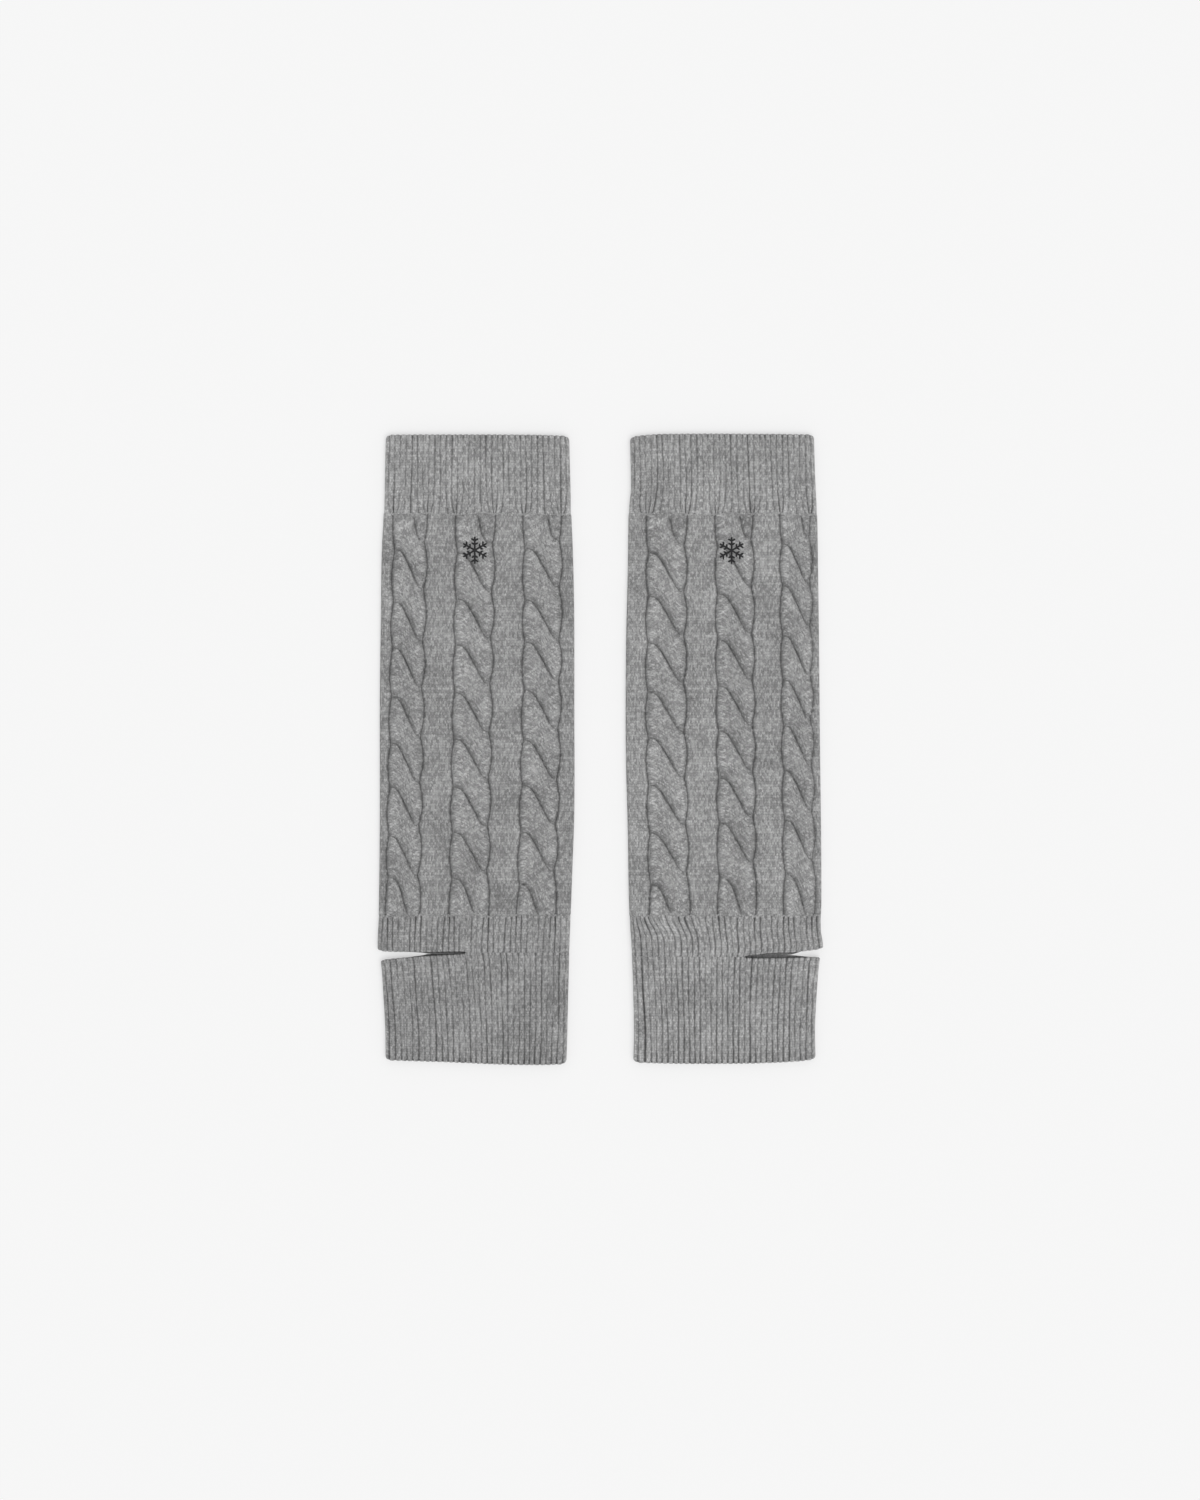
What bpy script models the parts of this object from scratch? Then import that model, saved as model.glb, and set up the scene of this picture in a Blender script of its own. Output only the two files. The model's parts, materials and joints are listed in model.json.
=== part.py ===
"""A pair of cable-knit leg warmers with ribbed ends and a heel slot, laid flat side by side.

Each leg warmer is a knitted tube pressed flat. Every piece is a closed wall made from rings: a
ring goes over the front layer from left to right, round the right fold, back under the rear
layer and round the left fold. Ribs and cables are raised in the outer rings, and the inside is
plain. +Z is up off the surface, +Y runs towards the top hem, and sizes are in millimetres until
a piece is made.
"""

from collections import namedtuple
from functools import partial
from math import asinh, copysign, cos, pi, radians, sin, sqrt

import bmesh
import bpy

MM = 0.001

# ------------------------------------------------------------------ driving sizes

PAIR_SPACING = 165.0  # between the middles of the two leg warmers
LEG_TOP = 157.0  # where the top cuff meets the cable knit
LEG_BOTTOM = -110.7  # where the cable knit meets the ankle rib
SEAM_GAP = 0.3  # between pieces that meet at a seam

PLAIN_WALL = 2.0  # one layer of the plain knit
RIB_WALL = 1.8  # one layer of rib, measured in a furrow
HOLLOW = 1.2  # between the front layer and the rear layer
LEG_THICKNESS = 2 * PLAIN_WALL + HOLLOW
RIB_THICKNESS = 2 * RIB_WALL + HOLLOW
FOLD_RADIUS = LEG_THICKNESS / 2
RIM_TUCK = 0.5  # how far a wall's faces draw in at its rim
CORNER_RADIUS = 3.4  # of a hem where it turns round a side fold

RIB_PITCH = 3.78
RIB_RISE = 0.9
RIB_SHOULDERS = (0.24, 0.76)  # of a rib's crest, as shares of the pitch
RIB_RIM = 1.3  # from a ribbed piece's edge to where it has its whole thickness

CABLE_RISE = 2.9
CROSSINGS = 8  # crossing lines that start below the top cuff, on each cable
CROSSING_PITCH = 31.3  # from one crossing of the two strands to the next, on an even cable
FIRST_CROSSING = 133.0  # left end of an even cable's first line
CROSSING_DROP = 27.0  # from a crossing line's left end to its right end
CROSSING_BEND = 8.0  # how much steeper a crossing line is in the middle of the cable
BULGE = 0.9  # how far a cable's sides swing out between the ends of its crossing lines
CREASE_LEVEL = 0.42  # height along a crossing line, as a share of the strand's crest
CREST_SHIFT = 0.24  # how far a strand's crest leans towards the edge that lies on top
BORDER_WIDTH = 1.2  # from a cable's side to the furrow beside it, and on to the plain knit
BORDER_DEPTH = 0.7
SEAM_FADE = 6.0  # length over which a cable rises from a seam
LEG_RIM = 1.0  # from the leg's edge to where it has its whole thickness
LEAST_STEP = 0.35  # across, between two points of the leg's front layer

FRONT, REAR = "front", "rear"
OUTSIDE = 99.0  # any distance from a leg warmer's middle that lies past both its folds
FOLD_ANGLES = (45, 0, -45)
REAR_SPANS = 6  # faces across a rear layer
INNER_SPANS = 4  # faces along the inside of the leg
CABLE_PLACES = (0.1, 0.32, 0.62, 0.96)  # of a ring's points, in half widths from a cable's middle
STRAND_ROWS = (0.0, 0.16, 0.5, 0.84)  # of rings from one crossing line down to the next, as shares
RAMP = 34.0  # length over which the leg's rings turn to follow the crossing lines
SMOOTH_BELOW = 40  # degrees between two faces that are shaded as one surface

Outline = namedtuple("Outline", "y left right")
Cable = namedtuple("Cable", "top middle bottom width first last")  # x three times, x, y, y
Edge = namedtuple("Edge", "x y")
SlotRow = namedtuple("SlotRow", "x level width")
Slot = namedtuple("Slot", "front rear")
LegWarmer = namedtuple("LegWarmer", "name side outline cables top_hem low_hem slot")

LEFT = LegWarmer(
    name="left",
    side=-1,
    outline=(
        Outline(y=210.0, left=-60.5, right=61.6),
        Outline(y=160.0, left=-61.8, right=62.8),
        Outline(y=133.0, left=-63.2, right=63.9),
        Outline(y=93.0, left=-63.8, right=64.8),
        Outline(y=33.0, left=-64.5, right=64.9),
        Outline(y=-40.0, left=-64.5, right=64.9),
        Outline(y=-80.0, left=-64.8, right=63.6),
        Outline(y=-110.0, left=-65.3, right=62.5),
        Outline(y=-134.0, left=-65.9, right=61.6),
        Outline(y=-142.0, left=-63.9, right=61.4),
        Outline(y=-160.0, left=-62.5, right=61.0),
        Outline(y=-187.0, left=-60.9, right=60.4),
        Outline(y=-210.0, left=-60.8, right=59.5),
    ),
    cables=(
        Cable(top=-44.0, middle=-46.7, bottom=-48.9, width=18.9, first=133.0, last=-85.5),
        Cable(top=-0.4, middle=-3.0, bottom=-5.8, width=22.7, first=131.5, last=-85.7),
        Cable(top=43.9, middle=42.9, bottom=39.4, width=22.0, first=134.3, last=-88.0),
    ),
    top_hem=(Edge(-60.5, 209.6), Edge(-30.0, 209.8), Edge(40.0, 209.6), Edge(61.6, 208.8)),
    low_hem=(Edge(-60.8, -207.0), Edge(-22.0, -208.3), Edge(14.0, -209.8), Edge(42.0, -210.2),
             Edge(59.5, -209.6)),
    slot=Slot(
        front=(
            SlotRow(x=-66.0, level=-137.7, width=9.0),
            SlotRow(x=-62.0, level=-137.4, width=5.0),
            SlotRow(x=-56.0, level=-137.0, width=3.2),
            SlotRow(x=-46.0, level=-136.9, width=1.7),
            SlotRow(x=-34.0, level=-136.9, width=0.6),
            SlotRow(x=-6.0, level=-135.3, width=SEAM_GAP),
            SlotRow(x=62.0, level=-135.3, width=SEAM_GAP),
        ),
        rear=(
            SlotRow(x=-66.0, level=-137.7, width=9.0),
            SlotRow(x=-62.0, level=-137.4, width=6.0),
            SlotRow(x=-50.0, level=-137.0, width=4.0),
            SlotRow(x=-37.0, level=-136.7, width=1.5),
            SlotRow(x=-33.0, level=-136.6, width=SEAM_GAP),
            SlotRow(x=62.0, level=-135.3, width=SEAM_GAP),
        ),
    ),
)

RIGHT = LegWarmer(
    name="right",
    side=1,
    outline=(
        Outline(y=210.0, left=-62.8, right=59.8),
        Outline(y=175.0, left=-62.2, right=60.8),
        Outline(y=160.0, left=-63.5, right=61.8),
        Outline(y=120.0, left=-64.2, right=62.5),
        Outline(y=66.0, left=-65.4, right=63.2),
        Outline(y=0.0, left=-65.5, right=63.8),
        Outline(y=-54.0, left=-64.2, right=64.5),
        Outline(y=-100.0, left=-63.4, right=64.7),
        Outline(y=-120.0, left=-62.6, right=64.4),
        Outline(y=-132.0, left=-61.8, right=65.9),
        Outline(y=-141.0, left=-61.4, right=63.4),
        Outline(y=-160.0, left=-60.8, right=61.8),
        Outline(y=-187.0, left=-60.2, right=60.5),
        Outline(y=-210.0, left=-60.8, right=60.8),
    ),
    cables=(
        Cable(top=-38.4, middle=-38.6, bottom=-36.6, width=22.9, first=131.5, last=-88.0),
        Cable(top=6.4, middle=7.4, bottom=8.3, width=21.6, first=135.0, last=-82.5),
        Cable(top=47.8, middle=48.7, bottom=50.5, width=18.2, first=138.5, last=-81.0),
    ),
    top_hem=(Edge(-62.8, 208.3), Edge(-43.0, 210.1), Edge(30.0, 210.2), Edge(59.8, 209.8)),
    low_hem=(Edge(-60.8, -208.6), Edge(-35.0, -209.3), Edge(15.0, -209.2), Edge(46.0, -208.0),
             Edge(60.8, -206.4)),
    slot=Slot(
        front=(
            SlotRow(x=-62.0, level=-138.1, width=SEAM_GAP),
            SlotRow(x=13.0, level=-138.1, width=SEAM_GAP),
            SlotRow(x=17.0, level=-138.1, width=1.2),
            SlotRow(x=30.0, level=-137.9, width=2.0),
            SlotRow(x=48.0, level=-136.7, width=1.8),
            SlotRow(x=58.0, level=-135.6, width=3.0),
            SlotRow(x=62.5, level=-135.8, width=4.9),
            SlotRow(x=66.0, level=-136.0, width=8.0),
        ),
        rear=(
            SlotRow(x=-62.0, level=-138.1, width=SEAM_GAP),
            SlotRow(x=43.0, level=-137.1, width=SEAM_GAP),
            SlotRow(x=46.0, level=-136.8, width=1.0),
            SlotRow(x=55.0, level=-136.0, width=4.0),
            SlotRow(x=62.5, level=-135.8, width=6.0),
            SlotRow(x=66.0, level=-136.0, width=8.0),
        ),
    ),
)


# ------------------------------------------------------------------ curves through the tables


def follow(points, at):
    """The value at a place, on a smooth curve through (place, value) points in rising order."""
    if at <= points[0][0]:
        return points[0][1]
    if at >= points[-1][0]:
        return points[-1][1]
    last = len(points) - 1
    i = max(k for k in range(last) if points[k][0] <= at)

    def slope(k):
        before, after = points[max(k - 1, 0)], points[min(k + 1, last)]
        return (after[1] - before[1]) / (after[0] - before[0])

    (start, low), (end, high) = points[i], points[i + 1]
    span = end - start
    t = (at - start) / span
    return (
        low * (1 + 2 * t) * (1 - t) ** 2
        + high * t * t * (3 - 2 * t)
        + span * slope(i) * t * (1 - t) ** 2
        - span * slope(i + 1) * t * t * (1 - t)
    )


def side_edge(warmer, side, y):
    """Where the left (-1) or right (1) fold lies at a height."""
    rows = reversed(warmer.outline)
    return follow([(row.y, row.left if side < 0 else row.right) for row in rows], y)


def smooth(t):
    """Rises from 0 to 1 with no corner at either end."""
    t = min(max(t, 0.0), 1.0)
    return t * t * (3 - 2 * t)


# ------------------------------------------------------------------ edges of the pieces


def corner(warmer, x, y):
    """How far a hem draws back where it turns round a side fold."""
    inset = min(x - side_edge(warmer, -1, y), side_edge(warmer, 1, y) - x)
    short = CORNER_RADIUS - min(max(inset, 0.0), CORNER_RADIUS)
    return CORNER_RADIUS - sqrt(CORNER_RADIUS**2 - short**2)


def top_hem(warmer, x, _layer):
    y = follow(warmer.top_hem, x)
    return y - corner(warmer, x, y)


def low_hem(warmer, x, _layer):
    y = follow(warmer.low_hem, x)
    return y + corner(warmer, x, y)


def seam(level, _warmer, _x, _layer):
    """A straight edge, where two pieces are linked stitch to stitch."""
    return level


def slot_edge(way, warmer, x, layer):
    """The edge above (way 1) or below (way -1) the heel slot, linked together where it ends."""
    rows = warmer.slot.front if layer == FRONT else warmer.slot.rear
    level = follow([(row.x, row.level) for row in rows], x)
    width = max(follow([(row.x, row.width) for row in rows], x), SEAM_GAP)
    return level + way * width / 2


# ------------------------------------------------------------------ rings and walls


def ring(warmer, thickness, inset, front, height_at):
    """A closed ring of (x, y, z) points, drawn in from the tube's outer face by an inset.

    front holds (x, y, rise) points over the front layer, and height_at(x, layer) gives the y of
    the rest. An inset of a wall's thickness gives the ring on the inner face.
    """
    radius = thickness / 2 - inset
    points = [(x, y, thickness / 2 + radius + rise) for x, y, rise in front]
    for side in (1, -1):
        outside = side * OUTSIDE
        fold_y = (height_at(outside, FRONT) + height_at(outside, REAR)) / 2
        middle = side_edge(warmer, side, fold_y) - side * thickness / 2
        for angle in FOLD_ANGLES[::side]:
            turn = radians(angle)
            x = middle + side * radius * cos(turn)
            y = (height_at(x, FRONT) + height_at(x, REAR)) / 2
            points.append((x, y, thickness / 2 + radius * sin(turn)))
        if side == 1:
            start, end = front[-1][0], front[0][0]
            for span in range(REAR_SPANS + 1):
                x = start + (end - start) * span / REAR_SPANS
                points.append((x, height_at(x, REAR), thickness / 2 - radius))
    return points


def make_wall(name, outer, inner, material, parent):
    """A closed wall: faces between the outer rings, between the inner rings, and at both rims."""
    mesh = bmesh.new()
    rings = [[mesh.verts.new([c * MM for c in point]) for point in row] for row in outer + inner]
    outer_rings, inner_rings = rings[: len(outer)], rings[len(outer):]
    neighbours = list(zip(outer_rings, outer_rings[1:])) + list(zip(inner_rings, inner_rings[1:]))
    rims = [(outer_rings[0], inner_rings[0]), (outer_rings[-1], inner_rings[-1])]
    for above, below in neighbours + rims:
        for i in range(len(above)):
            j = (i + 1) % len(above)
            mesh.faces.new((above[i], above[j], below[j], below[i]))
    bmesh.ops.recalc_face_normals(mesh, faces=mesh.faces)
    data = bpy.data.meshes.new(name)
    mesh.to_mesh(data)
    mesh.free()
    data.shade_smooth()
    data.set_sharp_from_angle(angle=radians(SMOOTH_BELOW))
    data.materials.append(material)
    piece = bpy.data.objects.new(name, data)
    piece.parent = parent
    parent.users_collection[0].objects.link(piece)
    return piece


# ------------------------------------------------------------------ ribbed pieces


RibRow = namedtuple("RibRow", "share offset tuck")  # share of the way down, then millimetres


def front_span(warmer, y):
    """Where a ribbed tube's front layer starts and ends, between its rounded folds."""
    radius = RIB_THICKNESS / 2
    return side_edge(warmer, -1, y) + radius, side_edge(warmer, 1, y) - radius


def rib_front(warmer, count, height_at, rise, tuck):
    """The front layer of a ribbed piece: a furrow and a two-cornered crest for each rib."""
    start, end = front_span(warmer, height_at(0.0, FRONT))
    shares = [(0.0, 0.0)] + [(shoulder, rise - tuck) for shoulder in RIB_SHOULDERS]
    marks = [(rib + share, lift) for rib in range(count) for share, lift in shares]
    marks.append((count, 0.0))
    points = []
    for mark, lift in marks:
        x = start + (end - start) * mark / count
        points.append((x, height_at(x, FRONT), lift))
    return points


def rib_piece(warmer, part, upper, lower, material, parent):
    """A ribbed tube between an upper and a lower edge, each a function of (warmer, x, layer)."""

    def height(share, offset, x, layer):
        top, bottom = upper(warmer, x, layer), lower(warmer, x, layer)
        return top + (bottom - top) * share + offset

    start, end = front_span(warmer, height(0.5, 0.0, 0.0, FRONT))
    count = round((end - start) / RIB_PITCH)
    rows = (
        RibRow(share=0.0, offset=0.0, tuck=RIM_TUCK),
        RibRow(share=0.0, offset=-RIB_RIM, tuck=0.0),
        RibRow(share=0.5, offset=0.0, tuck=0.0),
        RibRow(share=1.0, offset=RIB_RIM, tuck=0.0),
        RibRow(share=1.0, offset=0.0, tuck=RIM_TUCK),
    )
    outer = []
    for row in rows:
        height_at = partial(height, row.share, row.offset)
        front = rib_front(warmer, count, height_at, RIB_RISE, row.tuck)
        outer.append(ring(warmer, RIB_THICKNESS, row.tuck, front, height_at))
    inner = []
    for share in (0.0, 1.0):
        height_at = partial(height, share, 0.0)
        front = rib_front(warmer, count, height_at, 0.0, 0.0)
        inner.append(ring(warmer, RIB_THICKNESS, RIB_WALL, front, height_at))
    return make_wall(f"{warmer.name}_{part}", outer, inner, material, parent)


# ------------------------------------------------------------------ the cable-knit leg


def lean(n):
    """How far down a crossing line has run, n half widths across: from -1 at its left to 1.

    Past a cable's sides it goes back towards 0, so that the rings run straight again.
    """
    if abs(n) > 1:
        return copysign(max(0.0, 3 - 2 * abs(n)), n)
    return asinh(CROSSING_BEND * n) / asinh(CROSSING_BEND)


def own_pitch(cable):
    """From one of this cable's crossing lines down to the next."""
    return (cable.first - cable.last) / (CROSSINGS - 1)


def crossings_passed(cable, n, y):
    """How many crossing lines lie above a point, n half widths across, counted from the first.

    The whole part tells the line, and the rest how far down it is to the next one.
    """
    return (cable.first - CROSSING_DROP / 2 * (1 + lean(n)) - y) / own_pitch(cable)


def cable_rise(cable, n, y):
    """Height of a cable over the plain knit, n half widths from its middle.

    Two strands cross over each other all the way down. Each rises from under the one before at
    the cable's left, passes over the middle, and dives under the next at the right.
    """
    across = crossings_passed(cable, n, y) % 1
    crest = 0.5 - CREST_SHIFT * n
    away = (crest - across) / crest if across < crest else (across - crest) / (1 - crest)
    strand = CREASE_LEVEL + (1 - CREASE_LEVEL) * sqrt(max(0.0, 1 - away**2))
    side = sqrt(1 - min(abs(n), 1.0) ** 3)
    from_seam = min(LEG_TOP - y, y - LEG_BOTTOM)
    return CABLE_RISE * strand * side * smooth(from_seam / SEAM_FADE)


def cable_x(cable, n, y):
    """Where a point n half widths across a cable lies. The sides are drawn in at each line's end."""
    half_way = (LEG_TOP + LEG_BOTTOM) / 2
    marks = ((LEG_BOTTOM, cable.bottom), (half_way, cable.middle), (LEG_TOP, cable.top))
    side = copysign(1.0, n)
    bulge = -BULGE * cos(2 * pi * crossings_passed(cable, side, y))
    return follow(marks, y) + n * (cable.width / 2 + bulge)


def cable_points(cable, row_y, relief):
    """One cable's share of a ring: plain knit, furrow, the two strands, furrow, plain knit."""
    ramp = smooth(min(LEG_TOP - row_y, row_y - LEG_BOTTOM) / RAMP)
    half = cable.width / 2
    furrow, plain = 1 + BORDER_WIDTH / half, 1 + 2 * BORDER_WIDTH / half
    right_half = CABLE_PLACES + (furrow, plain)
    left_half = tuple(-n for n in reversed(right_half))
    passed = (FIRST_CROSSING - CROSSING_DROP / 2 - row_y) / CROSSING_PITCH
    own_y = cable.first - CROSSING_DROP / 2 - passed * own_pitch(cable)
    points = []
    for n in left_half + right_half:
        y = row_y + ramp * (own_y - row_y - CROSSING_DROP / 2 * lean(n))
        rise = 0.0
        if abs(n) < 1:
            rise = cable_rise(cable, n, y)
        elif abs(n) < plain:
            rise = -BORDER_DEPTH
        points.append((cable_x(cable, n, y), y, rise * relief))
    return points


def leg_front(warmer, row_y, relief):
    """The front layer of the leg: plain knit from fold to fold, with three cables on it.

    Where a cable comes close to a side fold, its furrow and the plain knit beyond are squeezed.
    """
    points = []
    for cable in warmer.cables:
        points += cable_points(cable, row_y, relief)
    start = side_edge(warmer, -1, row_y) + FOLD_RADIUS
    end = side_edge(warmer, 1, row_y) - FOLD_RADIUS
    last = len(points)
    squeezed = [(start, row_y, 0.0)]
    for i, (x, y, rise) in enumerate(points):
        x = max(x, start + (i + 1) * LEAST_STEP)
        x = min(x, end - (last - i) * LEAST_STEP)
        squeezed.append((x, y, rise))
    return squeezed + [(end, row_y, 0.0)]


def leg_rows():
    """Heights of the leg's rings: at each crossing line, and at shares of the strand below it."""
    half_fade = SEAM_FADE / 2
    highest, lowest = LEG_TOP - half_fade, LEG_BOTTOM + half_fade
    rows = [highest, lowest]
    line = FIRST_CROSSING - CROSSING_DROP / 2 + CROSSING_PITCH
    while line > lowest:
        heights = [line - share * CROSSING_PITCH for share in STRAND_ROWS]
        rows += [y for y in heights if lowest + LEG_RIM < y < highest - LEG_RIM]
        line -= CROSSING_PITCH
    return sorted(rows, reverse=True)


def leg_piece(warmer, material, parent):
    """The cable-knit tube between the top cuff and the ankle rib."""

    def leg_ring(y, inset, relief):
        front = leg_front(warmer, y, relief)
        return ring(warmer, LEG_THICKNESS, inset, front, lambda _x, _layer: y)

    top, bottom = LEG_TOP - SEAM_GAP / 2, LEG_BOTTOM + SEAM_GAP / 2
    heights = [top - LEG_RIM] + leg_rows() + [bottom + LEG_RIM]
    outer = [leg_ring(top, RIM_TUCK, 0.0)]
    outer += [leg_ring(y, 0.0, 1.0) for y in heights]
    outer.append(leg_ring(bottom, RIM_TUCK, 0.0))
    levels = [top + (bottom - top) * i / INNER_SPANS for i in range(INNER_SPANS + 1)]
    inner = [leg_ring(y, PLAIN_WALL, 0.0) for y in levels]
    return make_wall(f"{warmer.name}_leg", outer, inner, material, parent)


# ------------------------------------------------------------------ the pair


def knit_material(name, color):
    material = bpy.data.materials.new(name)
    material.use_nodes = True
    shader = material.node_tree.nodes["Principled BSDF"]
    shader.inputs["Base Color"].default_value = (*color, 1.0)
    shader.inputs["Roughness"].default_value = 0.95
    shader.inputs["Metallic"].default_value = 0.0
    return material


def knit_leg_warmer(warmer, collection, rib_knit, cable_knit):
    """One leg warmer: top cuff, leg, ankle rib above the heel slot and foot rib below it."""
    middle = bpy.data.objects.new(f"{warmer.name}_middle", None)
    collection.objects.link(middle)
    middle.location.x = warmer.side * PAIR_SPACING / 2 * MM
    cuff_seam = partial(seam, LEG_TOP + SEAM_GAP / 2)
    ankle_seam = partial(seam, LEG_BOTTOM - SEAM_GAP / 2)
    rib_piece(warmer, "top_cuff", top_hem, cuff_seam, rib_knit, middle)
    leg_piece(warmer, cable_knit, middle)
    rib_piece(warmer, "ankle_rib", ankle_seam, partial(slot_edge, 1), rib_knit, middle)
    rib_piece(warmer, "foot_rib", partial(slot_edge, -1), low_hem, rib_knit, middle)


def main():
    for leftover in list(bpy.data.objects):
        bpy.data.objects.remove(leftover)
    collection = bpy.data.collections.new("leg_warmers")
    bpy.context.scene.collection.children.link(collection)
    rib_knit = knit_material("grey_rib_knit", (0.28, 0.28, 0.28))
    cable_knit = knit_material("grey_cable_knit", (0.26, 0.26, 0.26))
    for warmer in (LEFT, RIGHT):
        knit_leg_warmer(warmer, collection, rib_knit, cable_knit)


main()
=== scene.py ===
# %% [markdown]
# # A pair of cable-knit leg warmers
#
# The object is two knitted tubes, laid flat side by side. Each has a ribbed top cuff, a leg in
# plain knit with three cables, and a ribbed ankle and foot cuff with a slot between them for the
# heel. The imported CAD model fixes every size and place. This script dresses it: it knits each
# piece again as a finer wall, and gives it yarn, stitches, links and embroidery.
#
# The imported model is loaded first.

# %% The imported model
import json
from collections import namedtuple
from math import pi, radians

import bpy
import numpy as np
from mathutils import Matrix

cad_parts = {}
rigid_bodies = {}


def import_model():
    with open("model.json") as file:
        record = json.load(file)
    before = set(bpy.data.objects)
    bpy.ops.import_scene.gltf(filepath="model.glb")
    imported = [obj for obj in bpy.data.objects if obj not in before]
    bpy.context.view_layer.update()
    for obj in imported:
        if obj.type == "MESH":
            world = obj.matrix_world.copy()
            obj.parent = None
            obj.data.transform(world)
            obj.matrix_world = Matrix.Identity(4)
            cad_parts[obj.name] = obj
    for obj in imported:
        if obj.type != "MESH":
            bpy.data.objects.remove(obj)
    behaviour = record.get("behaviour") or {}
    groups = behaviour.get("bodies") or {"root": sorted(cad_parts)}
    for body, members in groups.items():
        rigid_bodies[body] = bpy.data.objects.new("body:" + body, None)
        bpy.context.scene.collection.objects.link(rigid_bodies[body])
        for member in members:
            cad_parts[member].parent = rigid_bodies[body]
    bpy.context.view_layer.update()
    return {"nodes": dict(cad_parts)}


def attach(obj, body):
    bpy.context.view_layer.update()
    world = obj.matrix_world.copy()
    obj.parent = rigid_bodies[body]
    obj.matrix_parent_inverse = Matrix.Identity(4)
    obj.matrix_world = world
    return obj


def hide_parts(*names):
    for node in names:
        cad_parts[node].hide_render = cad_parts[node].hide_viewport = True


for leftover in list(bpy.data.objects):
    bpy.data.objects.remove(leftover)
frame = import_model()
MM = 0.001
print("nodes:", sorted(frame["nodes"]))

# %% [markdown]
# ## Three helpers
#
# A colour in a picture is stored in sRGB, and a shader counts in linear light, so one function
# turns a hex value from one to the other. One function adds a node with its settings and fills
# its inputs. One runs a Geometry Nodes tree on an object and keeps the result as a plain mesh:
# the tree's inputs are set by their identifiers before anything is evaluated.


# %% Helpers
def srgb(hex_value):
    """A hex colour as linear red, green, blue and alpha."""
    channels = [int(hex_value[i:i + 2], 16) / 255 for i in (1, 3, 5)]
    return (*(c / 12.92 if c < 0.04045 else ((c + 0.055) / 1.055) ** 2.4 for c in channels), 1.0)


def add(tree, kind, *inputs, named=(), **settings):
    """Adds a node with its settings. Inputs are values or other nodes, in order or by name."""
    node = tree.nodes.new(kind)
    for setting, value in settings.items():
        setattr(node, setting, value)
    by_name = [(node.inputs[name], value) for name, value in dict(named).items()]
    for socket, value in [*zip(node.inputs, inputs), *by_name]:
        if isinstance(value, bpy.types.Node):
            value = value.outputs[0]
        if isinstance(value, bpy.types.NodeSocket):
            tree.links.new(value, socket)
        elif value is not None:
            socket.default_value = value
    return node


def grow(piece, tree, **inputs):
    """Runs a Geometry Nodes tree on a piece, and keeps what it makes as the piece's plain mesh."""
    modifier = piece.modifiers.new(tree.name, "NODES")
    modifier.node_group = tree
    for item in tree.interface.items_tree:
        if item.in_out == "INPUT" and item.name.lower() in inputs:
            modifier[item.identifier] = inputs[item.name.lower()]
    evaluated = piece.evaluated_get(bpy.context.evaluated_depsgraph_get())
    made = bpy.data.meshes.new_from_object(evaluated)
    made.name = piece.name
    piece.modifiers.remove(modifier)
    piece.data = made


def put(name, mesh):
    """A new object for a mesh, at the origin."""
    piece = bpy.data.objects.new(name, mesh)
    bpy.context.scene.collection.objects.link(piece)
    return piece


print("grey of the floor, linear:", [round(c, 3) for c in srgb("#F5F5F5")])

# %% [markdown]
# ## Camera, floor and light
#
# The pair is seen from straight above through a long lens, so its sides stay out of sight. The
# frame is 1200 x 1500 pixels and takes in 800 x 1000 mm. The floor is a pale sheet that glows a
# little, as a light table does, and it keeps the shadow beside the cloth faint. A wide sun and an
# even sky stand for soft boxes all round.

# %% Camera, floor and light
VIEW_HEIGHT = 1.0  # metres of floor in the frame, from top to bottom
LENS, SENSOR = 100.0, 36.0
CLOTH_LEVEL = 0.004  # metres over the floor, where the frame takes in VIEW_HEIGHT
HALF_PIXEL = 0.00033  # metres on the cloth
FLOOR_GLOW, FLOOR_SIDE, FLOOR_LEVEL = 0.42, 4.0, -0.0004
SKY_STRENGTH, SUN_STRENGTH = 0.52, 1.3
SUN_WIDTH, SUN_TILT = 50, (13, 10, 0)  # degrees


def new_material(name):
    material = bpy.data.materials.new(name)
    material.use_nodes = True
    material.node_tree.nodes.clear()
    return material, material.node_tree


camera = bpy.data.objects.new("camera", bpy.data.cameras.new("camera"))
bpy.context.scene.collection.objects.link(camera)
camera.data.lens, camera.data.sensor_width = LENS, SENSOR
camera.location = (-HALF_PIXEL, -HALF_PIXEL, CLOTH_LEVEL + VIEW_HEIGHT * LENS / SENSOR)
bpy.context.scene.camera = camera

sun = bpy.data.objects.new("sun", bpy.data.lights.new("sun", "SUN"))
bpy.context.scene.collection.objects.link(sun)
sun.data.energy, sun.data.angle = SUN_STRENGTH, radians(SUN_WIDTH)
sun.rotation_euler = [radians(angle) for angle in SUN_TILT]

world = bpy.data.worlds.new("even sky")
bpy.context.scene.world = world
world.use_nodes = True
world.node_tree.nodes["Background"].inputs["Color"].default_value = srgb("#FFFFFF")
world.node_tree.nodes["Background"].inputs["Strength"].default_value = SKY_STRENGTH
bpy.context.scene.view_settings.view_transform = "Standard"

pale, tree = new_material("pale glowing floor")
shader = add(tree, "ShaderNodeBsdfPrincipled", named={
    "Base Color": srgb("#C4C4C4"), "Roughness": 0.9, "Specular IOR Level": 0.0,
    "Emission Color": srgb("#FFFFFF"), "Emission Strength": FLOOR_GLOW})
add(tree, "ShaderNodeOutputMaterial", shader)
floor_mesh = bpy.data.meshes.new("floor")
ways = ((-1, -1), (1, -1), (1, 1), (-1, 1))
floor_mesh.from_pydata([(FLOOR_SIDE * x, FLOOR_SIDE * y, FLOOR_LEVEL) for x, y in ways],
                       [], [(0, 1, 2, 3)])
floor_mesh.materials.append(pale)
put("floor", floor_mesh)
print("camera height, m:", round(camera.location.z, 3))

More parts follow.
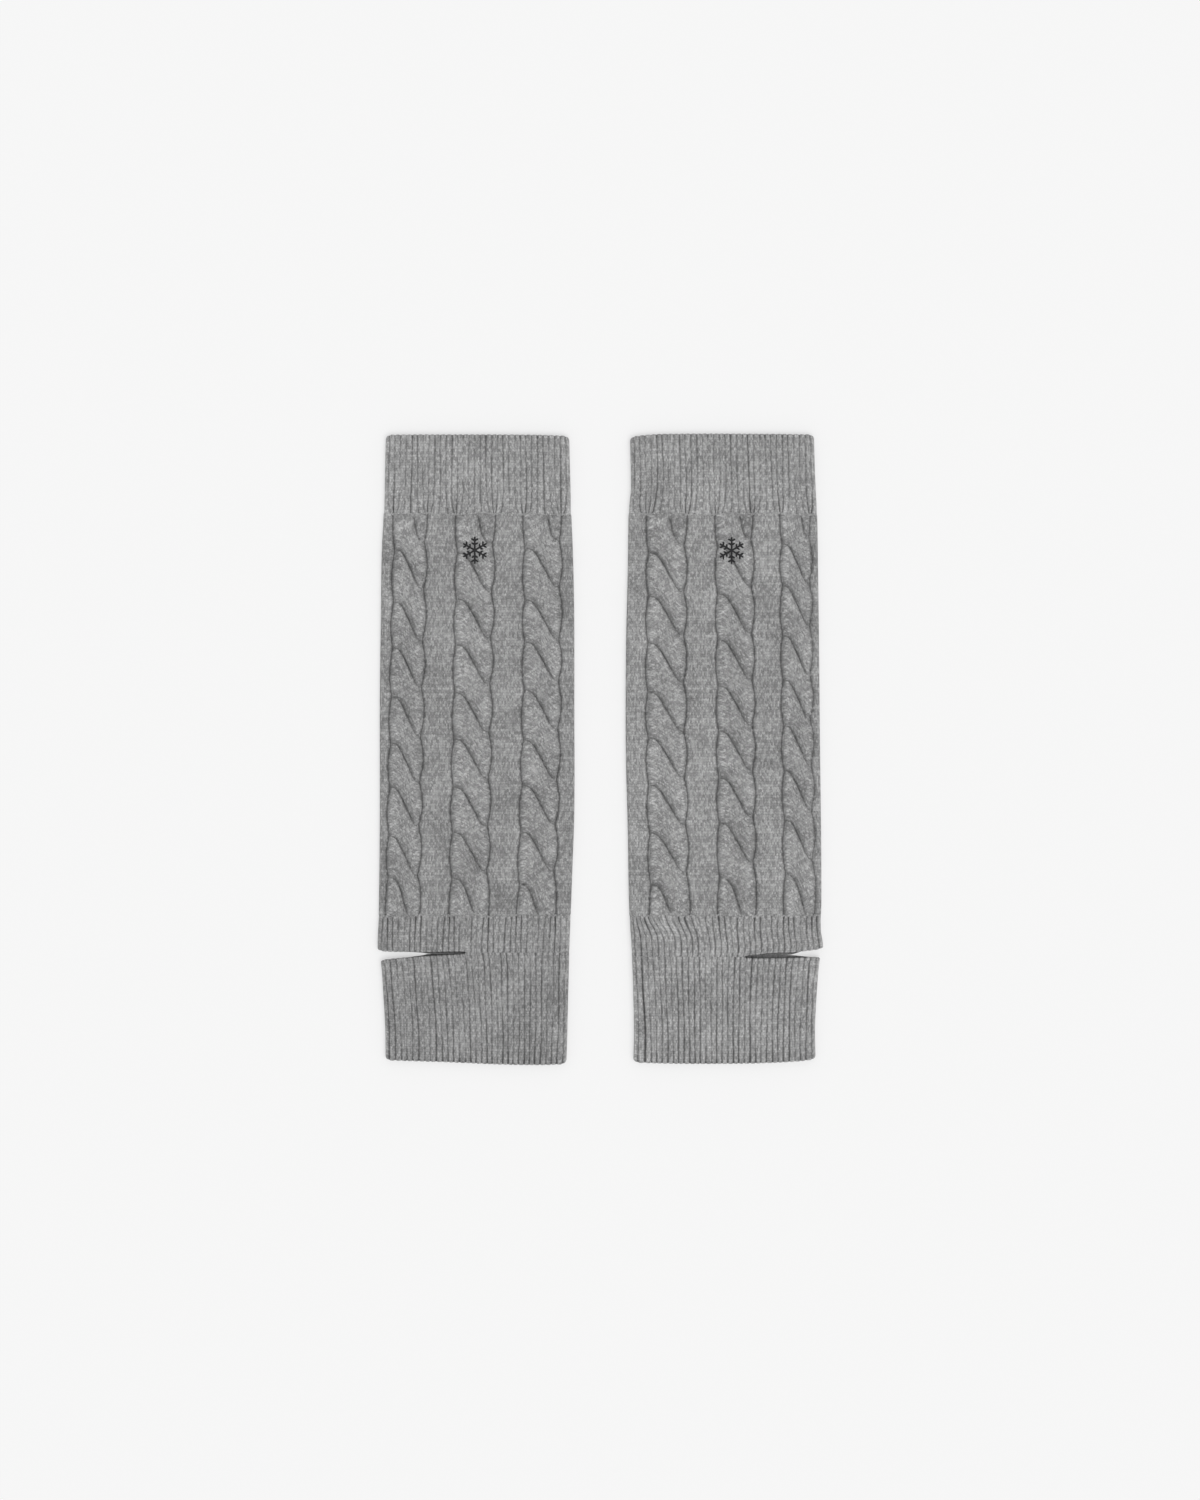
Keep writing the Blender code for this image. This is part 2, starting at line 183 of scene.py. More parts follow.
# %% [markdown]
# ## The measures of the pair
#
# All sizes are in millimetres, in the frame of the CAD model, and x is counted from the middle of
# each leg warmer. An outline gives where the two side folds lie at a height. A cable has its
# middle at three heights, its width, and the height at which each of its crossing lines starts at
# its left side. Hand-flat knit is uneven, so the lines are spaced unevenly too.

# %% Measures
PAIR_SPACING = 165.0
LEG_TOP, LEG_BOTTOM, SEAM_GAP = 157.0, -110.7, 0.3
PLAIN_WALL, RIB_WALL, HOLLOW = 2.0, 1.8, 1.2
LEG_THICKNESS = 2 * PLAIN_WALL + HOLLOW
RIB_THICKNESS = 2 * RIB_WALL + HOLLOW
CORNER_RADIUS = 3.4  # of a hem, where it turns round a side fold
RIB_PITCH, WALE, COURSE = 3.78, 1.89, 1.841
CABLE_RISE, BORDER_DEPTH = 2.9, 1.2
CROSSING_DROP, CROSSING_BEND, CROSSING_PITCH = 26.0, 1.8, 31.3
FIRST_CROSSING = 133.0  # where the first crossing lines start, were they all even
BULGE, BORDER = 0.7, 1.2  # how far a cable's side goes in and out, and half its border's width
FRONT = 1.0  # the number of the front layer, where the rear one has 0

Outline = namedtuple("Outline", "y left right")
Cable = namedtuple("Cable", "top middle bottom width starts right_border", defaults=(1.0,))
LegWarmer = namedtuple("LegWarmer", "name middle outline cables top_hem low_hem slot furrows")
Slot = namedtuple("Slot", "front rear")  # each row holds x, level, width

LEFT = LegWarmer(
    name="left", middle=-PAIR_SPACING / 2,
    outline=[
        Outline(210.0, -60.5, 61.6), Outline(160.0, -61.8, 62.8), Outline(133.0, -63.2, 63.9),
        Outline(93.0, -63.8, 64.8), Outline(33.0, -64.5, 64.9), Outline(-40.0, -64.5, 64.9),
        Outline(-80.0, -64.8, 63.6), Outline(-110.0, -65.3, 62.5), Outline(-134.0, -65.9, 61.6),
        Outline(-142.0, -63.9, 61.4), Outline(-160.0, -62.5, 61.0), Outline(-187.0, -60.9, 60.4),
        Outline(-210.0, -60.8, 59.5)],
    cables=[
        Cable(-44.2, -47.0, -49.5, 19.1, (133.0, 98.3, 67.7, 35.0, 4.3, -25.0, -57.7, -85.0)),
        Cable(-0.8, -3.2, -5.4, 22.5, (131.0, 100.3, 69.7, 37.7, 7.0, -25.0, -55.0, -85.7)),
        Cable(43.8, 42.9, 39.4, 22.1, (134.3, 99.7, 71.7, 39.7, 6.3, -23.7, -55.0, -89.7))],
    top_hem=[(-60.5, 209.6), (-30.0, 209.8), (40.0, 209.6), (61.6, 208.8)],
    low_hem=[(-60.8, -207.0), (-22.0, -208.3), (14.0, -209.8), (42.0, -210.2), (59.5, -209.6)],
    slot=Slot(
        front=[(-66.0, -137.7, 9.0), (-62.0, -137.4, 6.2), (-56.0, -137.1, 4.9),
               (-46.0, -136.7, 3.9), (-34.0, -136.3, 3.1), (-20.0, -135.8, 2.6),
               (-9.0, -135.4, 1.9), (-6.5, -135.3, 0.3), (62.0, -135.3, 0.3)],
        rear=[(-66.0, -137.7, 9.0), (-62.0, -137.4, 6.5), (-50.0, -137.0, 4.2),
              (-37.0, -136.5, 1.8), (-32.0, -136.3, 0.3), (62.0, -135.3, 0.3)]),
    furrows={
        "top_cuff": [-56.5, -43.8, -15.2, 19.5, 45.0, 57.0],
        "ankle_rib": [-58.0, -41.0, -20.0, 8.0, 31.0],
        "foot_rib": [-58.0, -57.6, -54.0, -41.0, -29.5, -6.0, 18.8, 19.2, 44.3, 55.5]})

RIGHT = LegWarmer(
    name="right", middle=PAIR_SPACING / 2,
    outline=[
        Outline(210.0, -62.8, 59.8), Outline(175.0, -62.2, 60.8), Outline(160.0, -63.5, 61.8),
        Outline(120.0, -64.2, 62.5), Outline(66.0, -65.4, 63.2), Outline(0.0, -65.5, 63.8),
        Outline(-54.0, -64.2, 64.5), Outline(-100.0, -63.4, 64.7), Outline(-120.0, -62.6, 64.4),
        Outline(-132.0, -61.8, 65.9), Outline(-141.0, -61.4, 63.4), Outline(-160.0, -60.8, 61.8),
        Outline(-187.0, -60.2, 60.5), Outline(-210.0, -60.8, 60.8)],
    cables=[
        Cable(-38.4, -38.9, -36.6, 23.1, (131.0, 102.3, 71.0, 38.3, 7.7, -23.7, -55.7, -90.3)),
        Cable(6.5, 7.4, 8.4, 21.7, (135.0, 103.7, 73.0, 42.3, 12.3, -19.0, -49.0, -85.7)),
        Cable(47.4, 48.5, 50.2, 17.2, (137.0, 109.0, 75.7, 46.3, 15.7, -14.3, -47.0, -83.0), 0.75)],
    top_hem=[(-62.8, 208.3), (-43.0, 210.1), (30.0, 210.2), (59.8, 209.8)],
    low_hem=[(-60.8, -208.6), (-35.0, -209.3), (15.0, -209.2), (46.0, -208.0), (60.8, -206.4)],
    slot=Slot(
        front=[(-62.0, -138.1, 0.3), (12.5, -138.1, 0.3), (15.0, -138.1, 1.7),
               (22.0, -137.9, 2.7), (30.0, -137.4, 3.8), (48.0, -136.9, 4.2),
               (58.0, -136.1, 4.9), (62.5, -135.8, 5.6), (66.0, -136.0, 8.0)],
        rear=[(-62.0, -138.1, 0.3), (43.0, -137.1, 0.3), (47.0, -136.8, 1.2),
              (55.0, -136.0, 4.4), (62.5, -135.8, 6.5), (66.0, -136.0, 8.0)]),
    furrows={
        "top_cuff": [-58.0, -45.0, -20.5, 17.0, 41.5],
        "ankle_rib": [-55.0, -28.0, 9.0, 46.0],
        "foot_rib": [-54.0, -54.4, -54.8, -31.0, -6.0, 18.0, 43.0, 56.0]})


def follow(points, at):
    """Values on a smooth curve through rows of (place, value), at an array of places."""
    places, values = np.array(sorted(points), float).T
    at = np.clip(at, places[0], places[-1])
    i = np.clip(np.searchsorted(places, at, side="right") - 1, 0, len(places) - 2)
    slopes = np.empty_like(places)
    slopes[1:-1] = (values[2:] - values[:-2]) / (places[2:] - places[:-2])
    slopes[0] = (values[1] - values[0]) / (places[1] - places[0])
    slopes[-1] = (values[-1] - values[-2]) / (places[-1] - places[-2])
    span = places[i + 1] - places[i]
    t = (at - places[i]) / span
    return (values[i] * (1 + 2 * t) * (1 - t) ** 2 + values[i + 1] * t * t * (3 - 2 * t)
            + span * slopes[i] * t * (1 - t) ** 2 - span * slopes[i + 1] * t * t * (1 - t))


def side_edge(warmer, side, y):
    """Where the left (-1) or right (1) fold lies at each height."""
    return follow([(row.y, row.left if side < 0 else row.right) for row in warmer.outline], y)


def smooth(t):
    """Rises from 0 to 1 with no corner at either end."""
    t = np.clip(t, 0.0, 1.0)
    return t * t * (3 - 2 * t)


for warmer in (LEFT, RIGHT):
    widths = [row.right - row.left for row in warmer.outline]
    print(warmer.name, "is", min(widths), "to", max(widths), "mm wide")

# %% [markdown]
# ## One wall for every piece
#
# Each piece is a tube that was pressed flat, and its cloth has a thickness. A grid of points
# makes such a wall: its rows go down the outer face, round the lower rim, up the inner face and
# round the upper rim, and its columns go round the tube. Both ways the grid closes on itself, so
# the wall has no open edge. Points carry named numbers, which Geometry Nodes and the materials
# read later, and each face has its place in a UV map counted in stitches: wales, the columns of
# a knit, and courses, its rows.

# %% The wall
Row = namedtuple("Row", "down bend tuck inner")
RIM_ANGLES = np.radians([0, 30, 60, 90])
INNER_ROWS = 5


def rim_rows(down, angles, inner):
    """Rows round a quarter of a rim."""
    return [Row(down, 1 - np.cos(angle), 1 - np.sin(angle), inner) for angle in angles]


def wall_rows(body):
    """Rows from the upper rim down the outer face, and back up the inner face."""
    rows = (rim_rows(0.0, RIM_ANGLES, 0) + [Row(down, 1.0, 0.0, 0) for down in body]
            + rim_rows(1.0, RIM_ANGLES[::-1], 0) + rim_rows(1.0, RIM_ANGLES, 1)
            + [Row(down, 1.0, 0.0, 1) for down in np.linspace(1, 0, INNER_ROWS + 2)[1:-1]]
            + rim_rows(0.0, RIM_ANGLES[::-1], 1))
    return [np.array(column, float)[:, None] for column in zip(*rows)]


def wall_inset(wall, rim, tuck, inner):
    """How far inside the outer face each point of the wall's outside, rim or inside lies."""
    return np.where(inner > 0, wall - tuck * rim, tuck * rim)


def knit_mesh(name, warmer, x, y, z, plain_uv, cable_uv, in_cable, **numbers):
    """A mesh from a grid of points in millimetres, with a UV map and a number at each point."""
    rows, columns = x.shape
    points = np.stack([x + warmer.middle, y, z], axis=-1).reshape(-1, 3) * MM
    index = np.arange(rows * columns).reshape(rows, columns)
    below = np.roll(index, -1, axis=0)
    faces = np.stack([index, below, np.roll(below, -1, axis=1), np.roll(index, -1, axis=1)], -1)
    mesh = bpy.data.meshes.new(name)
    mesh.from_pydata(points.tolist(), [], faces.reshape(-1, 4).tolist())
    corner_uv = []
    for down, across in ((0, 0), (1, 0), (1, 1), (0, 1)):
        picked = np.where(in_cable[None, :, None], cable_uv[:, across:columns + across],
                          plain_uv[:, across:columns + across])
        corner_uv.append(np.roll(picked, -down, axis=0))
    layer = mesh.uv_layers.new(name="knit")
    layer.data.foreach_set("uv", np.stack(corner_uv, axis=2).astype(np.float32).ravel())
    for label, values in numbers.items():
        attribute = mesh.attributes.new(label, "FLOAT", "POINT")
        spread = np.broadcast_to(values, (rows, columns)).astype(np.float32)
        attribute.data.foreach_set("value", spread.ravel())
    mesh.shade_smooth()
    return put(name, mesh)


print("rows of a wall round its two rims:", 4 * len(RIM_ANGLES))

# %% [markdown]
# ## Heather-grey yarn
#
# The yarn is a mid-weight spun yarn of acrylic and wool, knitted in heather grey: white, grey and
# black fibres are blended before spinning, so each stitch has its own grey and the courses show
# faint bands. It is matt, and loose fibres on its surface catch light at a grazing angle, which
# the sheen gives. The pattern is counted in stitches on the UV map, 1.89 mm wide and 1.84 mm
# high. A knit stitch shows as a V of two slanted legs, so the map is cut into slanted halves of
# stitches, and each half has its own grey, a round back and fibres along it; the gaps between
# the legs are darkened as painted shade. Single fibres of 0.02 mm would not show, so the speckle
# is drawn 0.6 mm coarse. Light is lost deep in a furrow between fuzzy yarns, and that is painted
# shade too: a number at each point says how dark its painted shade is, and darkens its grey.

# %% Knit materials
STITCH_SPREAD = 0.42  # of the grey, from one leg of a stitch to the next
FIBRE_SPREAD, SPECKLE_SPREAD, CLOUD_SPREAD = 0.9, 1.0, 0.42
LEG_SLANT = 0.5  # courses that a leg of a stitch runs down, from its top to the stitch's middle
FIBRE_SCALE = (2.2, 5.5, 1.0)  # across a leg, and along a course
BAND_SCALE = (0.06, 0.8, 1.0)  # to a wale, and to a course
SPECKLE_SIZE = 0.6 * MM
CLOUD_SCALE = 45.0  # to a metre, for patches of about 22 mm
RAMP_ENDS = 0.05, 0.95
# how far the painted shade at a point darkens its grey
CREASE_SHADE = 0.68
YARN_ROUNDNESS, FIBRE_HEIGHT = 0.6, 0.5
STITCH_BUMP, BUMP_STRENGTH = 0.3 * MM, 0.8
STITCH_SHADE = 0.35  # painted shade, as a part of the grey, in the gaps beside a stitch's yarn
MEAN_RELIEF = 0.7  # a stitch of this height keeps its grey


def knit_material(name, dark, middle, light, banding):
    """Spun heather yarn, knitted: its three greys, and how much its courses differ."""
    material, tree = new_material(name)
    place = add(tree, "ShaderNodeTexCoord")
    uv = add(tree, "ShaderNodeUVMap", uv_map="knit")
    down = across = add(tree, "ShaderNodeSeparateXYZ", uv)
    for operation, *values in (("FRACT",), ("MULTIPLY_ADD", 2.0, -1.0), ("ABSOLUTE",),
                               ("MULTIPLY_ADD", LEG_SLANT, across.outputs["Y"])):
        down = add(tree, "ShaderNodeMath", down, *values, operation=operation)
    halves = add(tree, "ShaderNodeMath", across, 2.0, operation="MULTIPLY")
    leg = add(tree, "ShaderNodeCombineXYZ", halves, down)
    cell = add(tree, "ShaderNodeVectorMath", leg, operation="FLOOR")
    stitch = add(tree, "ShaderNodeTexWhiteNoise", cell, noise_dimensions="2D")
    fibre, band = (
        add(tree, "ShaderNodeTexNoise",
            add(tree, "ShaderNodeMapping", source, named={"Scale": scale}),
            named={"Scale": 1.0, "Detail": detail}, noise_dimensions="2D")
        for source, scale, detail in ((leg, FIBRE_SCALE, 3.0), (uv, BAND_SCALE, 2.0)))
    speckle, cloud = (
        add(tree, "ShaderNodeTexNoise", place.outputs["Object"],
            named={"Scale": scale, "Detail": 2.0, "Roughness": roughness})
        for scale, roughness in ((1 / SPECKLE_SIZE, 0.7), (CLOUD_SCALE, 0.5)))
    grey = 0.5
    for pattern, spread in ((stitch, STITCH_SPREAD), (fibre, FIBRE_SPREAD),
                            (speckle, SPECKLE_SPREAD), (band, banding), (cloud, CLOUD_SPREAD)):
        centred = add(tree, "ShaderNodeMath", pattern, 0.5, operation="SUBTRACT")
        grey = add(tree, "ShaderNodeMath", centred, spread, grey, operation="MULTIPLY_ADD")
    ramp = add(tree, "ShaderNodeValToRGB", grey)
    stops = ramp.color_ramp.elements
    stops[0].position, stops[1].position = RAMP_ENDS
    stops[0].color, stops[1].color = srgb(dark), srgb(light)
    stops.new(0.5).color = srgb(middle)
    ridge, relief = down, halves
    for operation, *values in (("FRACT",), ("MULTIPLY", pi), ("SINE",)):
        ridge = add(tree, "ShaderNodeMath", ridge, *values, operation=operation)
    for operation, *values in (("MULTIPLY", pi), ("SINE",), ("ABSOLUTE",), ("MULTIPLY", ridge),
                               ("POWER", YARN_ROUNDNESS)):
        relief = add(tree, "ShaderNodeMath", relief, *values, operation=operation)
    crease = add(tree, "ShaderNodeAttribute", attribute_name="crease")
    # Painted shade: the grey is darkened by each point's stored painted shade, and in the gaps
    # between a stitch's legs.
    colour = ramp
    for value, factor, level in ((crease.outputs["Fac"], -CREASE_SHADE, 1.0),
                                 (relief, STITCH_SHADE, 1 - MEAN_RELIEF * STITCH_SHADE)):
        left = add(tree, "ShaderNodeMath", value, factor, level, operation="MULTIPLY_ADD")
        colour = add(tree, "ShaderNodeVectorMath", colour, operation="SCALE",
                     named={"Scale": left})
    relief = add(tree, "ShaderNodeMath", fibre, FIBRE_HEIGHT, relief, operation="MULTIPLY_ADD")
    bump = add(tree, "ShaderNodeBump", named={
        "Strength": BUMP_STRENGTH, "Distance": STITCH_BUMP, "Height": relief})
    shader = add(tree, "ShaderNodeBsdfPrincipled", named={
        "Base Color": colour, "Roughness": 0.95, "Specular IOR Level": 0.2, "IOR": 1.5,
        "Sheen Weight": 0.25, "Sheen Roughness": 0.5, "Normal": bump})
    add(tree, "ShaderNodeOutputMaterial", shader)
    return material


rib_knit = knit_material("heather_grey_rib_knit", "#747474", "#A8A8A8", "#DEDEDE", 0.14)
cable_knit = knit_material("heather_grey_cable_knit", "#707070", "#A5A5A5", "#DCDCDC", 0.30)
print("knit materials:", rib_knit.name, cable_knit.name)

# %% [markdown]
# ## The relief of a rib
#
# In a 1 x 1 rib one wale comes forward and the next goes back, so the cloth draws together into
# round ribs with narrow furrows between. Modelling each rib would be slow, and an array would not
# follow the hems. Here the rule is put into a Geometry Nodes tree: a point knows how many ribs
# lie to its left, the fraction of that number is looked up on a curve, and the point moves that
# far along the normal. Where the number "datum" is 1, as on the underside, the ribs keep their
# crests at the old surface and only the furrows go in, so the pair still lies flat.

# %% The rib tree
RIB_RISE = 0.9
RIB_PROFILE = [(0.0, 0.0), (0.1, 0.35), (0.2, 0.8), (0.35, 1.0), (0.5, 0.92), (0.65, 1.0),
               (0.8, 0.8), (0.9, 0.35), (1.0, 0.0)]  # height over one rib
# how dark the painted shade at the bottom of a furrow is
FURROW_SHADE = 0.72


def start_tree(name, sizes):
    """An empty tree that takes geometry, named sizes in metres and a material."""
    tree = bpy.data.node_groups.new(name, "GeometryNodeTree")
    tree.interface.new_socket("Geometry", in_out="INPUT", socket_type="NodeSocketGeometry")
    for label, size in sizes.items():
        socket = tree.interface.new_socket(label, in_out="INPUT", socket_type="NodeSocketFloat")
        socket.default_value = size
    tree.interface.new_socket("Material", in_out="INPUT", socket_type="NodeSocketMaterial")
    tree.interface.new_socket("Geometry", in_out="OUTPUT", socket_type="NodeSocketGeometry")
    return tree, add(tree, "NodeGroupInput")


def end_tree(tree, geometry, sizes):
    """The last nodes of a tree: instances made real, and the material set."""
    real = add(tree, "GeometryNodeRealizeInstances", geometry)
    coated = add(tree, "GeometryNodeSetMaterial", real,
                 named={"Material": sizes.outputs["Material"]})
    add(tree, "NodeGroupOutput", coated)


def raise_surface(tree, geometry, height, crease):
    """Moves points along their normals, and stores how dark the painted shade of each one is."""
    normal = add(tree, "GeometryNodeInputNormal")
    move = add(tree, "ShaderNodeVectorMath", normal, operation="SCALE", named={"Scale": height})
    stored = add(tree, "GeometryNodeStoreNamedAttribute", geometry,
                 named={"Name": "crease", "Value": crease})
    return add(tree, "GeometryNodeSetPosition", stored, named={"Offset": move})


def rib_tree():
    tree, sizes = start_tree("rib relief", {"Rib rise": RIB_RISE * MM})
    rib, raised, datum, depth, shade = (
        add(tree, "GeometryNodeInputNamedAttribute", label)
        for label in ("rib", "raised", "datum", "depth", "shade"))
    part = add(tree, "ShaderNodeMath", rib, operation="FRACT")
    profile = add(tree, "ShaderNodeFloatCurve", 1.0, part)
    curve = profile.mapping.curves[0]
    for place, height in RIB_PROFILE[1:-1]:
        curve.points.new(place, height)
    curve.points[0].location, curve.points[-1].location = RIB_PROFILE[0], RIB_PROFILE[-1]
    profile.mapping.update()
    down = add(tree, "ShaderNodeMath", 1.0, profile, operation="SUBTRACT")
    low = add(tree, "ShaderNodeMath", down, depth, operation="MULTIPLY")
    height = add(tree, "ShaderNodeMath", 1.0, datum, operation="SUBTRACT")
    for operation, value in (("SUBTRACT", low), ("MULTIPLY", sizes.outputs["Rib rise"]),
                             ("MULTIPLY", raised)):
        height = add(tree, "ShaderNodeMath", height, value, operation=operation)
    # Painted shade in a furrow: the deeper it goes in, the darker, and never less than the piece's
    # own painted shade.
    crease = add(tree, "ShaderNodeMath", low, 2.0, operation="POWER")
    crease = add(tree, "ShaderNodeMath", crease, FURROW_SHADE, operation="MULTIPLY")
    crease = add(tree, "ShaderNodeMath", crease, shade, operation="MAXIMUM", use_clamp=True)
    end_tree(tree, raise_surface(tree, sizes, height, crease), sizes)
    return tree


ribs_up = rib_tree()
print("rib tree:", len(ribs_up.nodes), "nodes")

# %% [markdown]
# ## Edges of the pieces
#
# A hem curves and turns round the folds. A seam is where two pieces are linked stitch to stitch,
# and it wanders a little, because the links pull unevenly. The heel slot is an edge that starts
# as a seam and opens towards the outer fold. Each edge gives its height and how far its rim is
# rounded: a free edge is round, and a linked one is nearly square, so that ribs run on across it.

# %% Edges
HEM_RIM, LINKED_RIM = 0.8, 0.3
Wave = namedtuple("Wave", "height length start")
SEAM_WAVES = Wave(0.35, 5.3, 1.0), Wave(0.3, 2.7, 0.4), Wave(0.25, 11.0, 0.0)
ANKLE_SHIFT = 40  # so that the ankle seam doesn't wander as the top seam does


def ripple(wave, at, number=1):
    """The height of a wave at a place. Each number in a row of such waves starts elsewhere."""
    return wave.height * np.sin(at / wave.length + wave.start * number)


def wander(x):
    """How far a seam leaves its straight line."""
    return sum(ripple(wave, x) for wave in SEAM_WAVES)


def corner(warmer, x, y):
    """How far a hem draws back where it turns round a side fold."""
    inset = np.minimum(x - side_edge(warmer, -1, y), side_edge(warmer, 1, y) - x)
    short = CORNER_RADIUS - np.clip(inset, 0.0, CORNER_RADIUS)
    return CORNER_RADIUS - np.sqrt(CORNER_RADIUS**2 - short**2)


def top_hem(warmer, x, layer):
    y = follow(warmer.top_hem, x)
    return y - corner(warmer, x, y), HEM_RIM


def low_hem(warmer, x, layer):
    y = follow(warmer.low_hem, x)
    return y + corner(warmer, x, y), HEM_RIM


def cuff_seam(warmer, x, layer):
    return LEG_TOP + SEAM_GAP / 2 + wander(x), LINKED_RIM


def ankle_seam(warmer, x, layer):
    return LEG_BOTTOM - SEAM_GAP / 2 + wander(x + ANKLE_SHIFT), LINKED_RIM


def slot_edge(warmer, x, layer, way):
    """The edge above (way 1) or below (way -1) the heel slot, with layer 1 on the front."""
    width, level = 0.0, 0.0
    for rows, weight in ((warmer.slot.front, layer), (warmer.slot.rear, 1 - layer)):
        level = level + weight * follow([(row[0], row[1]) for row in rows], x)
        open_by = np.maximum(follow([(row[0], row[2]) for row in rows], x), SEAM_GAP)
        width = width + weight * open_by
    free = smooth((width - SEAM_GAP) / 1.0)
    return level + way * width / 2, LINKED_RIM + (HEM_RIM - LINKED_RIM) * free


def above_slot(warmer, x, layer):
    return slot_edge(warmer, x, layer, 1)


def below_slot(warmer, x, layer):
    return slot_edge(warmer, x, layer, -1)


def cable_borders(warmer, y):
    """Where the dark borders of the cables meet a seam."""
    places = []
    for cable in warmer.cables:
        middle = cable.top if y > 0 else cable.bottom
        places += [middle - cable.width / 2 - BORDER, middle + cable.width / 2 + BORDER]
    return places


print("left cable borders at the top seam:", [round(x, 1) for x in cable_borders(LEFT, LEG_TOP)])

# %% [markdown]
# ## Ribbed pieces
#
# Three pieces of each leg warmer are ribbed: the top cuff, the ankle rib and the foot rib. A
# column of points stands at eight places across every rib, and a row at every course. The
# ribs aren't even: some furrows are deeper, and near a seam the ribs bend towards the borders of
# the cables, which draw the cloth together.

# %% Ribbed pieces
RIB_COLUMNS = (0.0, 0.1, 0.2, 0.35, 0.5, 0.65, 0.8, 0.9)
FOLD_RIBS = 2
SCALLOP, SEAM_NOTCH, SLOT_NOTCH = 0.18, 0.28, 0.05  # how far each edge draws in at a furrow
# Depths of furrows are parts of a rib's rise.
FURROW_DEPTH, DEPTH_WAVE, DEPTH_NOISE = 0.95, Wave(0.12, 9, 2.1), 0.18
RIB_DEPTH = {"top_cuff": 0.86}  # flatter than the other ribs
DEEPEST_FRONT, DEEPEST_REAR = 2.2, 1.25
# How much deeper some furrows are, and so darker in painted shade, and how many millimetres that
# reaches.
MARKED, AT_BORDER, AT_HEM, IN_FOOT = (0.3, 1.5), (1.3, 3.0), (0.7, 1.6), (0.3, 14)
PULL_REACH = 15.0
GATHER = {"top_cuff": 2.5, "ankle_rib": 0.6, "foot_rib": 0.0}
GATHER_WIDTH, GATHER_REACH = 8.0, 6.0  # how cables draw the ribs beside a seam to their borders
GATHER_PEAK = 2.33  # brings the highest point of t * exp(-t**2) to 1
RIB_SWAY = Wave(0.2, 10, 1.7)
RIM_COURSES = 0.2  # of the pattern, that a rim takes up
STRAIGHT = [(-60.0, 0.0), (60.0, 0.0)]
# painted shade inside a tube and on its rims
INSIDE_SHADE, RIB_RIM_SHADE, LEG_RIM_SHADE = 0.8, 0.35, 0.3
SHADED = {"left_foot_rib": 0.2, "left_ankle_rib": 0.12, "left_leg": 0.08}  # darker pieces


def own_shade(name, rim_shade, tuck, inner):
    """Painted shade on a piece's rims and inside, before its creases, with a darker grey all over
    for some pieces.
    """
    return np.maximum(INSIDE_SHADE * inner, rim_shade * tuck) + SHADED.get(name, 0.0)


def lay_tube(warmer, y, share, turn, side, thickness, inset):
    """x and z on a flattened tube: share goes across, and turn, in degrees, round the folds."""
    start = side_edge(warmer, -1, y) + thickness / 2
    end = side_edge(warmer, 1, y) - thickness / 2
    radius = thickness / 2 - inset
    x = start + (end - start) * share + side * radius * np.cos(np.radians(turn))
    return x, thickness / 2 + radius * np.sin(np.radians(turn))


